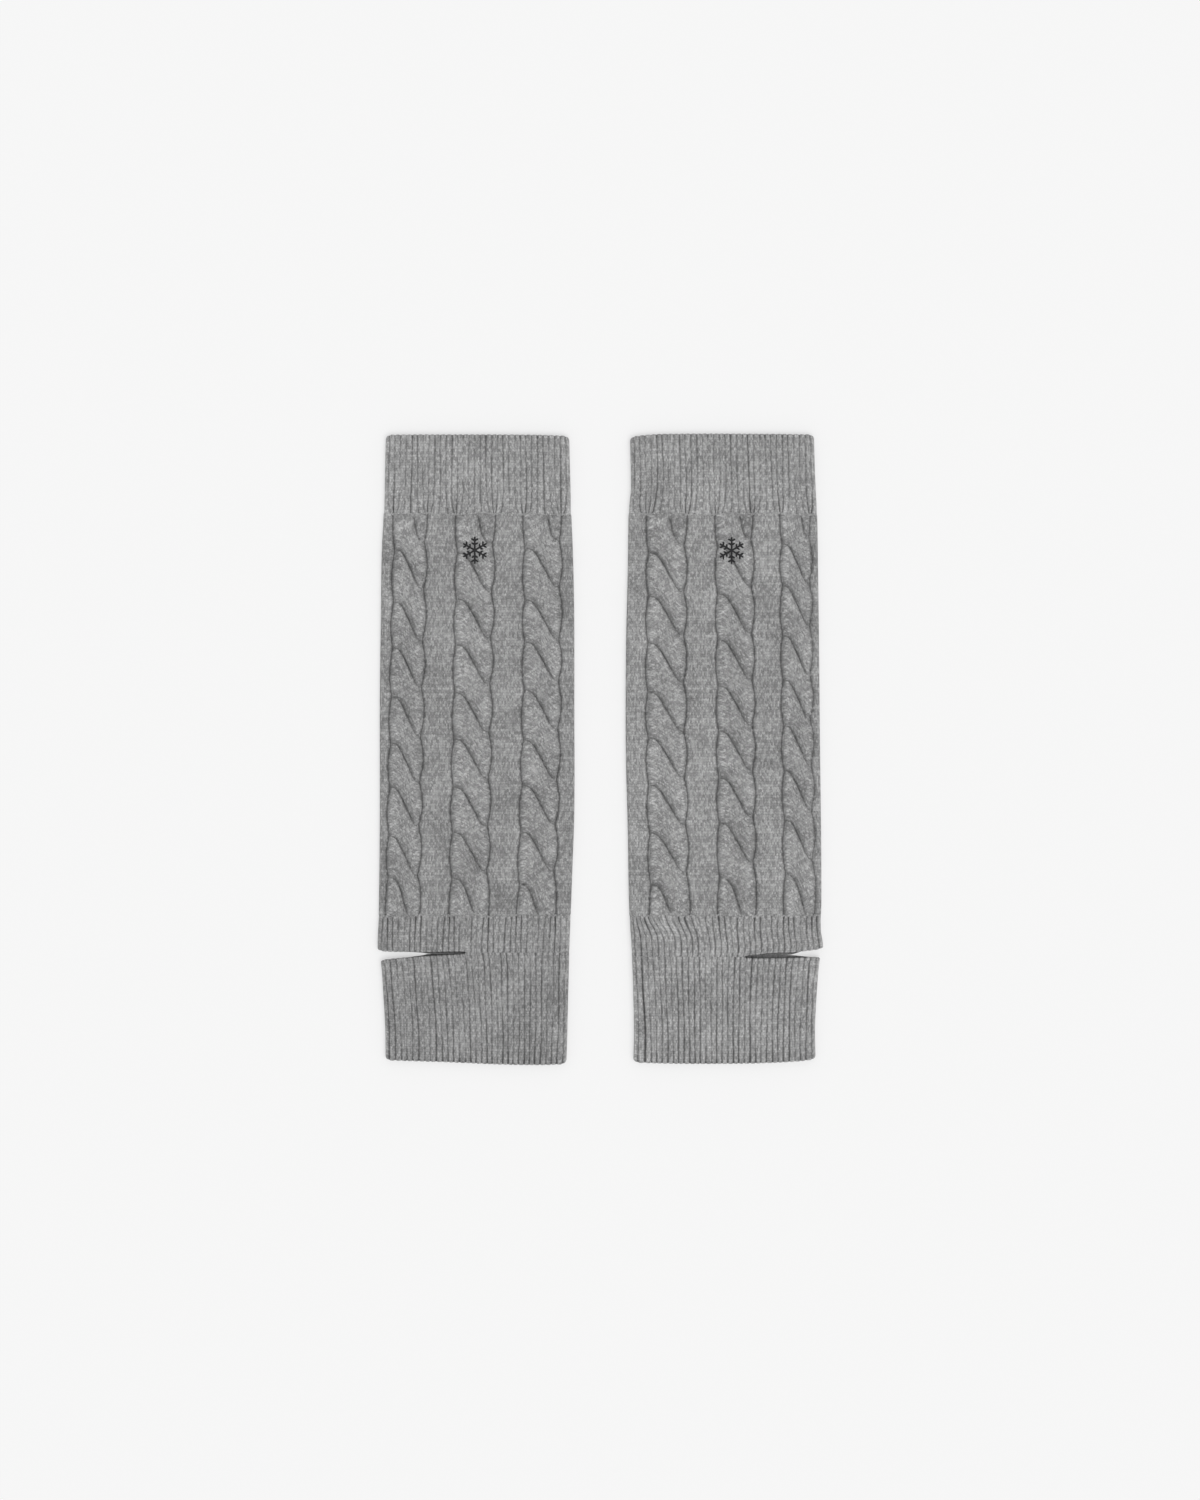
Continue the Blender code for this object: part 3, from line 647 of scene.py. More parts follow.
def rib_piece(warmer, part, upper, lower, seam_y, cuts, pulled=STRAIGHT, lean=STRAIGHT):
    """A ribbed tube between two edges.

    cuts tells how far each edge draws in at a furrow. Rows of (x, how far right a rib lies) tell
    how the ribs are pulled below the upper edge, and how far they have leaned at the lower one.
    """
    high, low = (float(np.mean(edge(warmer, np.array([0.0]), FRONT)[0])) for edge in (upper, lower))
    start, end = (lay_tube(warmer, (high + low) / 2, share, 90.0, 0, RIB_THICKNESS, 0.0)[0]
                  for share in (0.0, 1.0))
    count = round(float(end - start) / RIB_PITCH)
    total = 2 * (count + FOLD_RIBS)
    rib = np.array([whole + part_of for whole in range(total) for part_of in RIB_COLUMNS])
    stops = [0, count, count + FOLD_RIBS, total - FOLD_RIBS, total]
    share = np.interp(rib, stops, [0, 1, 1, 0, 0])
    turn = np.interp(rib, stops, [90, 90, -90, -90, 90])
    side = np.where(rib < stops[2], 1, -1)
    facing = np.sin(np.radians(turn))
    layer = (1 + facing) / 2
    front = np.clip(facing, 0, 1)
    courses = round((high - low) / COURSE)
    down, bend, tuck, inner = wall_rows(np.linspace(0, 1, courses + 1)[1:-1])
    notch = 1 - np.interp(rib % 1, *zip(*RIB_PROFILE))
    y = high + (low - high) * down
    for _ in range(2):  # x follows from y, and the edges from x
        x, z = lay_tube(warmer, y, share, turn, side, RIB_THICKNESS, 0.0)
        (top, top_rim), (bottom, bottom_rim) = (edge(warmer, x, layer) for edge in (upper, lower))
        rim = np.broadcast_to(np.where(down < 0.5, top_rim, bottom_rim), x.shape)
        y = ((top - rim * bend - cuts[0] * notch) * (1 - down)
             + (bottom + rim * bend + cuts[1] * notch) * down)
    inset = wall_inset(RIB_WALL, rim, tuck, inner)
    x, z = lay_tube(warmer, y, share, turn, side, RIB_THICKNESS, inset)

    depth = FURROW_DEPTH + ripple(DEPTH_WAVE, y, np.round(rib))
    random = np.random.default_rng(len(part) + count)
    noise = random.uniform(-DEPTH_NOISE, DEPTH_NOISE, total + 1)
    depth = (depth + noise[np.round(rib).astype(int)]) * RIB_DEPTH.get(part, 1.0)
    for place in warmer.furrows[part]:
        depth = depth + MARKED[0] * front * np.exp(-((x - place) / MARKED[1]) ** 2)
    shift = follow(lean, x) * (y - high) / (low - high)
    shift = shift + follow(pulled, x) * (1 - smooth((high - y) / PULL_REACH))
    near = np.exp(-np.abs(y - seam_y) / GATHER_REACH)
    for place in cable_borders(warmer, seam_y):
        t = (x - place) / GATHER_WIDTH
        shift = shift - GATHER_PEAK * GATHER[part] * t * np.exp(-t**2) * near
        depth = depth + AT_BORDER[0] * front * np.exp(-((x - place) / AT_BORDER[1]) ** 2) * near
    shift = shift + ripple(RIB_SWAY, y, rib)
    from_hem = np.minimum(np.abs(y - warmer.top_hem[1][1]), np.abs(y - warmer.low_hem[1][1]))
    for more, reach in (AT_HEM, IN_FOOT) if part == "foot_rib" else (AT_HEM,):
        depth = depth + more * front * np.exp(-from_hem / reach)
    depth = np.minimum(depth, np.where(turn < 0, DEEPEST_REAR, DEEPEST_FRONT))

    fine = down * courses + np.where(down < 0.5, -RIM_COURSES, RIM_COURSES) * (1 - bend)
    uv = np.stack(np.broadcast_arrays(2 * np.append(rib, total) + 0.5, fine), axis=-1)
    name = f"{warmer.name}_{part}"
    piece = knit_mesh(f"{name}_knit", warmer, x + shift * facing**2, y, z, uv, uv,
                      np.zeros(len(rib), bool), rib=rib, raised=(1 - tuck) * (1 - inner),
                      depth=depth, datum=1 - front,
                      shade=own_shade(name, RIB_RIM_SHADE, tuck, inner))
    grow(piece, ribs_up, material=rib_knit)
    girth = float(2 * (end - start) + pi * RIB_THICKNESS)
    print(name, count, "ribs across,", round(len(piece.data.loops) / 2), "triangles")
    return piece, (girth * MM, (high - low) * MM)


FOOT_LEAN = {
    "left": [(-62.0, 0.0), (-40.0, 1.2), (-8.0, 2.4), (18.0, 1.0), (40.0, 0.0), (62.0, 0.0)],
    "right": [(-62.0, 0.0), (-52.0, 2.0), (-20.0, 1.2), (5.0, 0.3), (30.0, 0.0), (62.0, 0.0)]}
ANKLE_PULL = {
    "left": STRAIGHT,
    "right": [(-62.0, 0.0), (-56.0, -2.6), (-38.0, -6.0), (-16.0, -3.0), (4.0, 0.0), (62.0, 0.0)]}
ribbed = {}
for warmer in (LEFT, RIGHT):
    ribbed[warmer.name, "top_cuff"] = rib_piece(
        warmer, "top_cuff", top_hem, cuff_seam, LEG_TOP, (SCALLOP, SEAM_NOTCH))
    ribbed[warmer.name, "ankle_rib"] = rib_piece(
        warmer, "ankle_rib", ankle_seam, above_slot, LEG_BOTTOM, (SEAM_NOTCH, SLOT_NOTCH),
        pulled=ANKLE_PULL[warmer.name])
    ribbed[warmer.name, "foot_rib"] = rib_piece(
        warmer, "foot_rib", below_slot, low_hem, LEG_BOTTOM, (SLOT_NOTCH, SCALLOP),
        lean=FOOT_LEAN[warmer.name])

# %% [markdown]
# ## The relief of the cables
#
# A cable is two strands of six wales each. Every 31 mm or so the knitter passes one strand over
# the other, always the same way, so the strand on top runs from upper left to lower right and
# dives under the next one. Seen from the side, a strand climbs steeply out of the crossing line
# above it and slopes down slowly to the line below. The tree gets the number of crossing lines
# that lie above a point; its fraction says where in the strand the point is. Beside each cable a
# purl wale goes back into a border, which is sunk and darkened with painted shade. Shade is
# painted beside each crossing line too, on both sides and furthest on the side above it, where a
# strand dives under. The tree's sums stand in a list, as on a worksheet, and one loop adds a node
# for each.

# %% The cable tree
BORDER_PROFILE = [(-0.25, 0.0), (0.0, 0.1), (0.25, 0.55), (0.5, 1.0), (0.75, 0.55), (1.0, 0.0)]
CREASE_LEVEL = 0.40  # height of a strand's two ends, as a part of the cable's rise
CREST, CREST_SLANT = 0.34, -0.18  # where down a strand it is highest, and how that changes across
SIDE_POWER = 5.0  # the more, the flatter a strand is across and the steeper at its sides
STITCH_DEPTH = 0.22
LOOP_SLANT, LOOP_HEIGHT = 0.3, 0.5  # courses that a loop runs down, and how high it stands
# Painted shade beside a crossing line: on which side, how many millimetres far, and how dark.
LINE_SHADES = [("below", 0.5, 1.0), ("above", 0.9, 0.85), ("above", 4.0, 0.5)]
LINE_SHADE_ASIDE = (-0.42, -0.1)  # how the painted shade of a crossing line fades to both sides, and to the right
# how sharp the painted shade in a cable's border is, and how dark
BORDER_SHARPNESS, BORDER_SHADE = 1.3, 1.15
HELD = ("climb", "slope", "flank", "shown")  # sums that are kept from 0 to 1


def cable_tree():
    tree, sizes = start_tree("cable relief", {
        "Cable rise": CABLE_RISE * MM, "Border depth": BORDER_DEPTH * MM,
        "Stitch depth": STITCH_DEPTH * MM})
    known = {label: add(tree, "GeometryNodeInputNamedAttribute", label) for label in (
        "strand", "across", "steep", "fade", "groove", "wale", "course", "stitch", "raised",
        "shade")}
    known.update(sizes.outputs.items())
    known["crease"] = 0.0
    sums = [  # what comes out, the operation, and what goes in
        # A strand climbs to its crest, slopes down beyond it and falls off at its sides.
        ("passed", "FRACT", "strand"), ("crest", "MULTIPLY_ADD", "across", CREST_SLANT, CREST),
        ("climb", "DIVIDE", "passed", "crest"), ("left", "SUBTRACT", 1.0, "climb"),
        ("left", "POWER", "left", 2.0), ("up", "SUBTRACT", 1.0, "left"),
        ("up", "POWER", "up", 0.5), ("beyond", "SUBTRACT", "passed", "crest"),
        ("rest", "SUBTRACT", 1.0, "crest"), ("slope", "DIVIDE", "beyond", "rest"),
        ("lower", "POWER", "slope", 2.0), ("lower", "SUBTRACT", 1.0, "lower"),
        ("lobe", "MULTIPLY", "up", "lower"),
        ("lobe", "MULTIPLY_ADD", "lobe", 1 - CREASE_LEVEL, CREASE_LEVEL),
        ("out", "ABSOLUTE", "across"), ("out", "POWER", "out", SIDE_POWER),
        ("flank", "SUBTRACT", 1.0, "out"), ("side", "POWER", "flank", 0.5),
        ("height", "MULTIPLY", "lobe", "side"), ("height", "MULTIPLY", "height", "fade"),
        ("height", "MULTIPLY", "height", "Cable rise"),
        # The border goes back, and each stitch stands out a little.
        ("sunk", "MULTIPLY", "groove", "Border depth"), ("height", "SUBTRACT", "height", "sunk"),
        ("wave", "FRACT", "wale"), ("wave", "MULTIPLY", "wave", pi), ("wave", "SINE", "wave"),
        ("loop", "MULTIPLY_ADD", "wave", LOOP_SLANT, "course"),
        ("loop", "MULTIPLY", "loop", 2 * pi), ("loop", "COSINE", "loop"),
        ("loop", "MULTIPLY_ADD", "loop", LOOP_HEIGHT, "wave"),
        ("loop", "MULTIPLY", "loop", "stitch"),
        ("height", "MULTIPLY_ADD", "loop", "Stitch depth", "height"),
        ("height", "MULTIPLY", "height", "raised"),
        # Shade is painted below and above each crossing line, and in the border.
        ("below", "MULTIPLY", "passed", "steep"), ("above", "SUBTRACT", 1.0, "passed"),
        ("above", "MULTIPLY", "above", "steep"),
        *(row for distance, reach, dark in LINE_SHADES for row in (
            ("near", "MULTIPLY", distance, -1 / reach), ("near", "EXPONENT", "near"),
            ("crease", "MULTIPLY_ADD", "near", dark, "crease"))),
        ("aside", "MULTIPLY_ADD", "across", *LINE_SHADE_ASIDE),
        ("aside", "MULTIPLY_ADD", "aside", "across", 1.0),
        ("crease", "MULTIPLY", "crease", "aside"), ("lasting", "POWER", "fade", 0.5),
        ("crease", "MULTIPLY", "crease", "lasting"),
        ("thin", "POWER", "groove", BORDER_SHARPNESS),
        ("crease", "MULTIPLY_ADD", "thin", BORDER_SHADE, "crease"),
        ("shown", "MAXIMUM", "crease", "shade")]
    for result, operation, *inputs in sums:
        values = [known.get(value, value) for value in inputs]
        known[result] = add(tree, "ShaderNodeMath", *values, operation=operation,
                            use_clamp=result in HELD)
    end_tree(tree, raise_surface(tree, sizes, known["height"], known["shown"]), sizes)
    return tree


cables_up = cable_tree()
print("cable tree:", len(cables_up.nodes), "nodes")

# %% [markdown]
# ## The front of a leg
#
# The leg's rows of points are straight in the plain knit between the cables. Inside a cable they
# bend to run along the crossing lines, so that each line falls on a row and stays crisp. The
# border wale takes up the step between the two. Towards the seams the bend fades out.

# %% The front of a leg
CROSSING_STEPS = 34  # rows from one crossing line to the next, half a course each
CABLE_COLUMNS, BORDER_COLUMNS, WALE_COLUMNS = 41, 4, 4
FOLD_COLUMNS, REAR_COLUMNS = 16, 36
STRAND_WALES, CABLE_WALES, REAR_WALES = 9, 12, 65
FIRST_LINE = FIRST_CROSSING - CROSSING_DROP / 2  # the middle of such a crossing line
RAMP = 34.0  # how far from a seam the rows take to bend in full
SEAM_FADE, WANDER_REACH = 4.5, 8
LEAST_STEP = 0.1  # from one column to the next, where a cable comes close to a fold
STRAND_RUN = (0.55, -0.835)  # the way that a strand runs, right and down
RIGHT_BULGE, LEFT_BULGE = 1.5, 1.1  # a cable's right side goes in and out more
CABLE_STITCH, STITCHED = 0.3, 0.97  # stitches stand out less on a cable, as far as this across
USUAL_CABLE = 10.5  # half the width of a usual cable
DIMPLES = {"left": [(37.5, -65.0), (43.5, -74.3)], "right": []}
DIMPLE_RADIUS, DIMPLE_SHADE = 1.1, 0.55
DIMPLE_UPRIGHT = 0.6  # of a height counts, so that a dimple is tall and narrow
TOP_PULL, LOW_PULL = (7.0, 15.0), (6.4, 22.0)  # how far, and how far from the seam it reaches
EVEN_PART = 0.2  # of a crossing line's fall that is spread evenly over the cable
LINE_SHIFT = 0.08  # of a crossing line's middle, to the right
PLAIN_SHADE = 0.08  # how much darker the plain knit is
TOP_STRAND, DIVE_SHADE = -1, 0.3  # strands numbered below this dive under the top seam, in shade
DIVE_EDGE = 0.2  # of a strand's run
PLAIN = 9.0  # half widths across, for a point that is on no cable


def line_turn(n):
    """The angle whose sine gives the fall of a crossing line, n half widths across."""
    return np.clip(CROSSING_BEND * (n - LINE_SHIFT), -pi / 2, pi / 2)


def fallen(n):
    """How far down a crossing line has run, n half widths across, from -1 at its left to 1."""
    return (1 - EVEN_PART) * np.sin(line_turn(n)) + EVEN_PART * n


def all_starts(cable):
    """Numbers of the crossing lines, with two more above and three below, and their starts."""
    count = len(cable.starts)
    above = [cable.starts[0] + CROSSING_PITCH * k for k in (2, 1)]
    below = [cable.starts[-1] - CROSSING_PITCH * k for k in (1, 2, 3)]
    return np.arange(-2, count + 3), np.array([*above, *cable.starts, *below])


def strands_above(cable, n, y):
    """How many crossing lines lie above a point. The fraction tells where in the strand it is.

    Beside a seam the rib holds the strands, so the lines there run steeper.
    """
    numbers, starts = all_starts(cable)
    y = y - TOP_PULL[0] * (1 - smooth((LEG_TOP - y) / TOP_PULL[1]))
    y = y + LOW_PULL[0] * (1 - smooth((y - LEG_BOTTOM) / LOW_PULL[1]))
    return np.interp(y + CROSSING_DROP / 2 * (1 + fallen(n)), starts[::-1], numbers[::-1])


def cable_x(cable, n, y):
    """Where a point n half widths across lies. The sides are drawn in at each line's end."""
    marks = [(LEG_BOTTOM, cable.bottom), ((LEG_TOP + LEG_BOTTOM) / 2, cable.middle),
             (LEG_TOP, cable.top)]
    bulge = BULGE * (2 * np.abs(np.sin(pi * strands_above(cable, np.sign(n), y))) - 1)
    bulge = bulge * (RIGHT_BULGE if n > 0 else LEFT_BULGE)
    return follow(marks, y) + n * (cable.width / 2 + bulge)


def front_grid(warmer, row_y, start, end, inner):
    """The front of a leg: x, y, strand, across, groove, fade, wale and stitch of its points."""
    ramp = smooth(np.minimum(LEG_TOP - row_y, row_y - LEG_BOTTOM) / RAMP) * (1 - inner)
    passed = (FIRST_LINE - row_y) / CROSSING_PITCH
    columns = []

    def plain_columns(left, right, wales, closed, before):
        """Plain knit from left to right. closed names the side where it ends at a fold."""
        count = wales * WALE_COLUMNS
        for k in range(0 if closed == "left" else 1, count + (closed == "right")):
            x = left + (right - left) * k / count
            columns.append((x, row_y, 0, PLAIN, 0, 0, before + k / WALE_COLUMNS, 1))

    left, before = start, 0
    for number, cable in enumerate(warmer.cables):
        gap = 2 * BORDER / (cable.width / 2)
        out = 1 + gap * np.arange(1, BORDER_COLUMNS + 1) / BORDER_COLUMNS
        places = [*-out[::-1], *np.linspace(-1, 1, CABLE_COLUMNS), *out]
        numbers, starts = all_starts(cable)
        own_y = np.interp(passed, numbers, starts) - CROSSING_DROP / 2
        edge_x = cable_x(cable, places[0], row_y)
        wales = max(1, round(float(np.median(edge_x - left)) / WALE))
        plain_columns(left, edge_x, wales, "left" if number == 0 else "", before)
        before += wales + CABLE_WALES
        for n in places:
            sunk = float(np.interp((abs(n) - 1) / gap, *zip(*BORDER_PROFILE)))
            sunk = sunk * (cable.right_border if n > 0 else 1)
            outside = np.sign(n) * (1 - (abs(n) - 1) / gap)
            drop = fallen(n) if abs(n) <= 1 else outside
            y = row_y + ramp * (own_y - row_y - CROSSING_DROP / 2 * drop)
            strand = strands_above(cable, max(-1, min(1, n)), y)
            from_seam = np.minimum(LEG_TOP - y, y - LEG_BOTTOM)
            fade = smooth(from_seam / SEAM_FADE) * (abs(n) <= 1)
            columns.append((cable_x(cable, n, y), y, strand, n, sunk, fade,
                            STRAND_WALES * strand, CABLE_STITCH * (abs(n) < STITCHED)))
        left = cable_x(cable, places[-1], row_y)
    wales = max(1, round(float(np.median(end - left)) / WALE))
    plain_columns(left, end, wales, "right", before)
    made = [np.stack(np.broadcast_arrays(row_y, *column)[1:], -1) for column in columns]
    return np.moveaxis(np.concatenate(made, axis=1), -1, 0)


print("columns of points across a cable:", CABLE_COLUMNS)

# %% [markdown]
# ## The whole leg
#
# The front is one layer of a flattened tube. The folds and the plain rear layer are added to its
# columns, so that the wall closes. The map that the yarn's pattern follows is laid at the same
# time: on a cable it runs along the strands, and everywhere else it runs straight down.


# %% The whole leg
def leg_piece(warmer):
    """The cable-knit tube between the top cuff and the ankle rib."""
    top, bottom = LEG_TOP - SEAM_GAP / 2, LEG_BOTTOM + SEAM_GAP / 2
    levels = FIRST_LINE + (np.arange(-60, 400) * -CROSSING_PITCH / CROSSING_STEPS)
    levels = levels[(levels < top - 2 * LINKED_RIM) & (levels > bottom + 2 * LINKED_RIM)]
    down, bend, tuck, inner = wall_rows((top - levels) / (top - bottom))
    edge = np.where(down < 0.5, top - LINKED_RIM * bend, bottom + LINKED_RIM * bend)
    row_y = np.where((down > 0) & (down < 1), top + (bottom - top) * down, edge)
    start = side_edge(warmer, -1, row_y) + LEG_THICKNESS / 2
    end = side_edge(warmer, 1, row_y) - LEG_THICKNESS / 2
    x, y, strand, across, groove, fade, wale, stitch = front_grid(
        warmer, row_y, start, end, inner)
    front_shape, last = x.shape, x.shape[1] - 1
    order = np.arange(last + 1)
    x = np.maximum(x, start + order * LEAST_STEP)
    x = np.minimum(x, end - (last - order) * LEAST_STEP)

    folded = np.linspace(90, -90, FOLD_COLUMNS + 2)[1:-1]
    turn = np.concatenate([folded, np.full(REAR_COLUMNS + 1, -90.0), folded[::-1]])
    share = np.concatenate([np.ones(FOLD_COLUMNS), np.linspace(1, 0, REAR_COLUMNS + 1),
                            np.zeros(FOLD_COLUMNS)])
    side = np.where(np.arange(len(turn)) < len(turn) / 2, 1, -1)
    inset = wall_inset(PLAIN_WALL, LINKED_RIM, tuck, inner)
    back_x, back_z = lay_tube(warmer, row_y, share, turn, side, LEG_THICKNESS, inset)
    x = np.concatenate([x, back_x], axis=1)
    y = np.concatenate([y, np.broadcast_to(row_y, back_x.shape)], axis=1)
    z = np.concatenate([np.broadcast_to(LEG_THICKNESS - inset, front_shape), back_z], axis=1)
    y = y + wander(x) * np.exp(-np.abs(LEG_TOP - y) / WANDER_REACH)
    y = y + wander(x + ANKLE_SHIFT) * np.exp(-np.abs(y - LEG_BOTTOM) / WANDER_REACH)

    in_cable = (across[0] >= -1) & (across[0] < 1 - 1e-6)
    along = (STRAND_RUN[0] * x[:, :last + 1] + STRAND_RUN[1] * y[:, :last + 1]) / COURSE
    fold_wales = np.arange(1, FOLD_COLUMNS + 1) / WALE_COLUMNS
    back_wales = np.concatenate([fold_wales, np.full(REAR_COLUMNS + 1, 0.0), fold_wales])
    slope = (1 - EVEN_PART) * CROSSING_BEND * np.cos(line_turn(across)) + EVEN_PART
    slope = slope * CROSSING_DROP / 2 / USUAL_CABLE
    steep = CROSSING_PITCH / np.sqrt(1 + slope**2)

    def whole(front_values, back_values):
        """Values on the front, and those on the folds and the rear beside them."""
        back = np.broadcast_to(back_values, back_x.shape)
        return np.concatenate([np.broadcast_to(front_values, front_shape), back], axis=1)

    def closed(values):
        """A map's columns, and the first one once more to close it."""
        return np.concatenate([values, values[:, :1]], axis=1)

    plain = across[0] == PLAIN
    u = np.interp(order, order[plain], wale[0][plain])
    rear = REAR_WALES * (1 - share[FOLD_COLUMNS:-FOLD_COLUMNS])
    beyond = u[-1] + (FOLD_COLUMNS + 1) / WALE_COLUMNS
    u = np.concatenate([u, u[-1] + fold_wales, beyond + rear, beyond + REAR_WALES + fold_wales,
                        [beyond + REAR_WALES + (FOLD_COLUMNS + 1) / WALE_COLUMNS]])
    plain_uv = np.stack(np.broadcast_arrays(u, closed((LEG_TOP - y) / COURSE)), axis=-1)
    cable_uv = np.stack([closed(whole(STRAND_WALES * strand, 0.0)), closed(whole(along, 0.0))],
                        axis=-1)
    even_course = (FIRST_LINE - row_y) / (2 * CROSSING_PITCH / CROSSING_STEPS)
    course = np.where(np.abs(across) <= 1, along, even_course)
    in_columns = np.append(in_cable, np.zeros(len(turn), bool))
    name = f"{warmer.name}_leg"
    from_middle = np.abs(whole(across, PLAIN))
    shade = own_shade(name, LEG_RIM_SHADE, tuck, inner) + PLAIN_SHADE * (from_middle > 1)
    dives = smooth((TOP_STRAND - whole(strand, 0)) / DIVE_EDGE) * (from_middle < 1)
    shade = np.maximum(shade, DIVE_SHADE * dives)
    for dimple_x, dimple_y in DIMPLES[warmer.name]:
        away = np.hypot(x - dimple_x, (y - dimple_y) * DIMPLE_UPRIGHT)
        dimple = DIMPLE_SHADE * np.exp(-(away / DIMPLE_RADIUS) ** 2)
        shade = np.maximum(shade, dimple * (1 - inner))
    piece = knit_mesh(
        f"{name}_knit", warmer, x, y, z, plain_uv, cable_uv, in_columns,
        strand=whole(strand, 0), across=whole(across, 0), steep=whole(steep, CROSSING_PITCH),
        fade=whole(fade, 0), groove=whole(groove, 0), wale=whole(wale, back_wales),
        course=whole(course, even_course),
        stitch=whole(stitch, np.abs(turn) < 89),  # on the folds, and not on the flat rear
        raised=(1 - tuck) * (1 - inner), shade=shade)
    grow(piece, cables_up, material=cable_knit)
    girth = 2 * float(np.median(end - start)) + pi * LEG_THICKNESS
    print(name, x.shape, "points,", round(len(piece.data.loops) / 2), "triangles")
    return piece, (girth * MM, (top - bottom) * MM)


legs = {warmer.name: leg_piece(warmer) for warmer in (LEFT, RIGHT)}

# %% [markdown]
# ## Linking yarns
#
# The pieces are joined on a linking machine, which runs a chain of the same yarn through the end
# loops of both. The chain lies between the two edges and shows as small grey loops. Its path
# goes round the tube in the middle of the wall. The tree bends a zigzag along that path and gives
# it the thickness of a yarn. At the heel slot the chain only runs where the slot is closed.

# %% Linking yarns
LINK_RADIUS, LINK_SWAY, LINK_STEP, LINK_INSET = 0.5, 0.4, 0.32, 0.6
LINK_POINTS, LINK_FOLD = 130, 7  # points of the path across a layer, and round a fold


def link_tree():
    tree, sizes = start_tree("linking chain", {
        "Yarn radius": LINK_RADIUS * MM, "Sway": LINK_SWAY * MM, "Loop length": WALE * MM,
        "Point spacing": LINK_STEP * MM})
    path = add(tree, "GeometryNodeMeshToCurve", sizes)
    path = add(tree, "GeometryNodeResampleCurve", path, mode="LENGTH",
               named={"Length": sizes.outputs["Point spacing"]})
    run = add(tree, "GeometryNodeSplineParameter")
    loops = add(tree, "ShaderNodeMath", run.outputs["Length"], sizes.outputs["Loop length"],
                operation="DIVIDE")
    turn = add(tree, "ShaderNodeMath", loops, 2 * pi, operation="MULTIPLY")
    wave = add(tree, "ShaderNodeMath", turn, operation="SINE")
    sway = add(tree, "ShaderNodeMath", wave, sizes.outputs["Sway"], operation="MULTIPLY")
    offset = add(tree, "ShaderNodeCombineXYZ", named={"Y": sway})
    path = add(tree, "GeometryNodeSetPosition", path, named={"Offset": offset})
    profile = add(tree, "GeometryNodeCurvePrimitiveCircle",
                  named={"Resolution": 6, "Radius": sizes.outputs["Yarn radius"]})
    yarn = add(tree, "GeometryNodeCurveToMesh", path,
               named={"Profile Curve": profile, "Fill Caps": True})
    smoothed = add(tree, "GeometryNodeSetShadeSmooth", yarn)
    end_tree(tree, smoothed, sizes)
    return tree


def path_mesh(name, points, closed):
    """A mesh of edges only, through points in millimetres."""
    count = len(points)
    edges = [(i, i + 1) for i in range(count - 1)] + ([(count - 1, 0)] if closed else [])
    mesh = bpy.data.meshes.new(name)
    mesh.from_pydata((np.array(points) * MM).tolist(), edges, [])
    return put(name, mesh)


def link_piece(warmer, seam_name, height_at, thickness, opening=None):
    """The chain round a tube. opening holds the x where the slot ends in front and behind."""
    across = np.linspace(0, 1, LINK_POINTS)
    fold = np.linspace(90, -90, LINK_FOLD + 2)[1:-1]
    share = np.concatenate([across, np.ones(LINK_FOLD), across[::-1], np.zeros(LINK_FOLD)])
    turn = np.concatenate([np.full(LINK_POINTS, 90.0), fold, np.full(LINK_POINTS, -90.0),
                           fold[::-1]])
    side = np.where(np.arange(len(turn)) < len(turn) / 2, 1, -1)
    layer = (1 + np.sin(np.radians(turn))) / 2
    y = height_at(np.zeros_like(share), np.ones_like(share))
    for _ in range(2):
        x, z = lay_tube(warmer, y, share, turn, side, thickness, LINK_INSET)
        y = height_at(x, layer)
    points = np.stack([x + warmer.middle, y, z], axis=-1)
    if opening:
        outer = -1 if warmer is LEFT else 1
        ends = np.where(layer > 0.5, opening[0], opening[1])
        closed_part = outer * (x - ends) < 0
        first = int(np.argmax(closed_part & ~np.roll(closed_part, 1)))
        points = np.roll(points, -first, axis=0)[:int(closed_part.sum())]
    chain = path_mesh(f"{warmer.name}_{seam_name}_chain", points, opening is None)
    grow(chain, links_on, material=rib_knit)
    print(chain.name, round(len(chain.data.loops) / 2), "triangles")
    return chain


links_on = link_tree()
SLOT_ENDS = {"left": (-6.0, -31.5), "right": (12.0, 42.5)}
chains = {}
for warmer in (LEFT, RIGHT):
    chains[warmer.name, "top"] = link_piece(
        warmer, "top_seam", lambda x, layer: LEG_TOP + wander(x), LEG_THICKNESS)
    chains[warmer.name, "ankle"] = link_piece(
        warmer, "ankle_seam", lambda x, layer: LEG_BOTTOM + wander(x + ANKLE_SHIFT),
        LEG_THICKNESS)
    chains[warmer.name, "slot"] = link_piece(
        warmer, "heel_slot",
        lambda x, layer: (above_slot(warmer, x, layer)[0] + below_slot(warmer, x, layer)[0]) / 2,
        RIB_THICKNESS, SLOT_ENDS[warmer.name])

# %% [markdown]
# ## The embroidered motif
#
# The middle cable of each leg warmer carries a small black motif below the top cuff. Here it is a
# plain six-armed snowflake. An embroidery machine sews such a line in satin stitch: short threads
# side by side, square to the line. The tree resamples the arms at the width of a thread, lays one
# short thread at each point, and drops every point of it onto the knit below with a raycast.

# %% The motif
MOTIF_RADIUS, MOTIF_START = 8.9, 0.15
TWIGS = [(3.7, 2.3), (6.3, 2.6)]  # how far out on an arm a pair of twigs starts, and its length
THREAD_SPACING, THREAD_LENGTH, THREAD_WIDTH = 0.3, 1.2, 0.42
MOTIF_PLACES = {"left": (-1.2, 132.7), "right": (4.8, 132.5)}
TAPER, END_STITCH = 0.5, 0.6  # length of a line's tapered end, and the share left at its tip
ABOVE_CLOTH = 0.02  # metres, from where the rays start


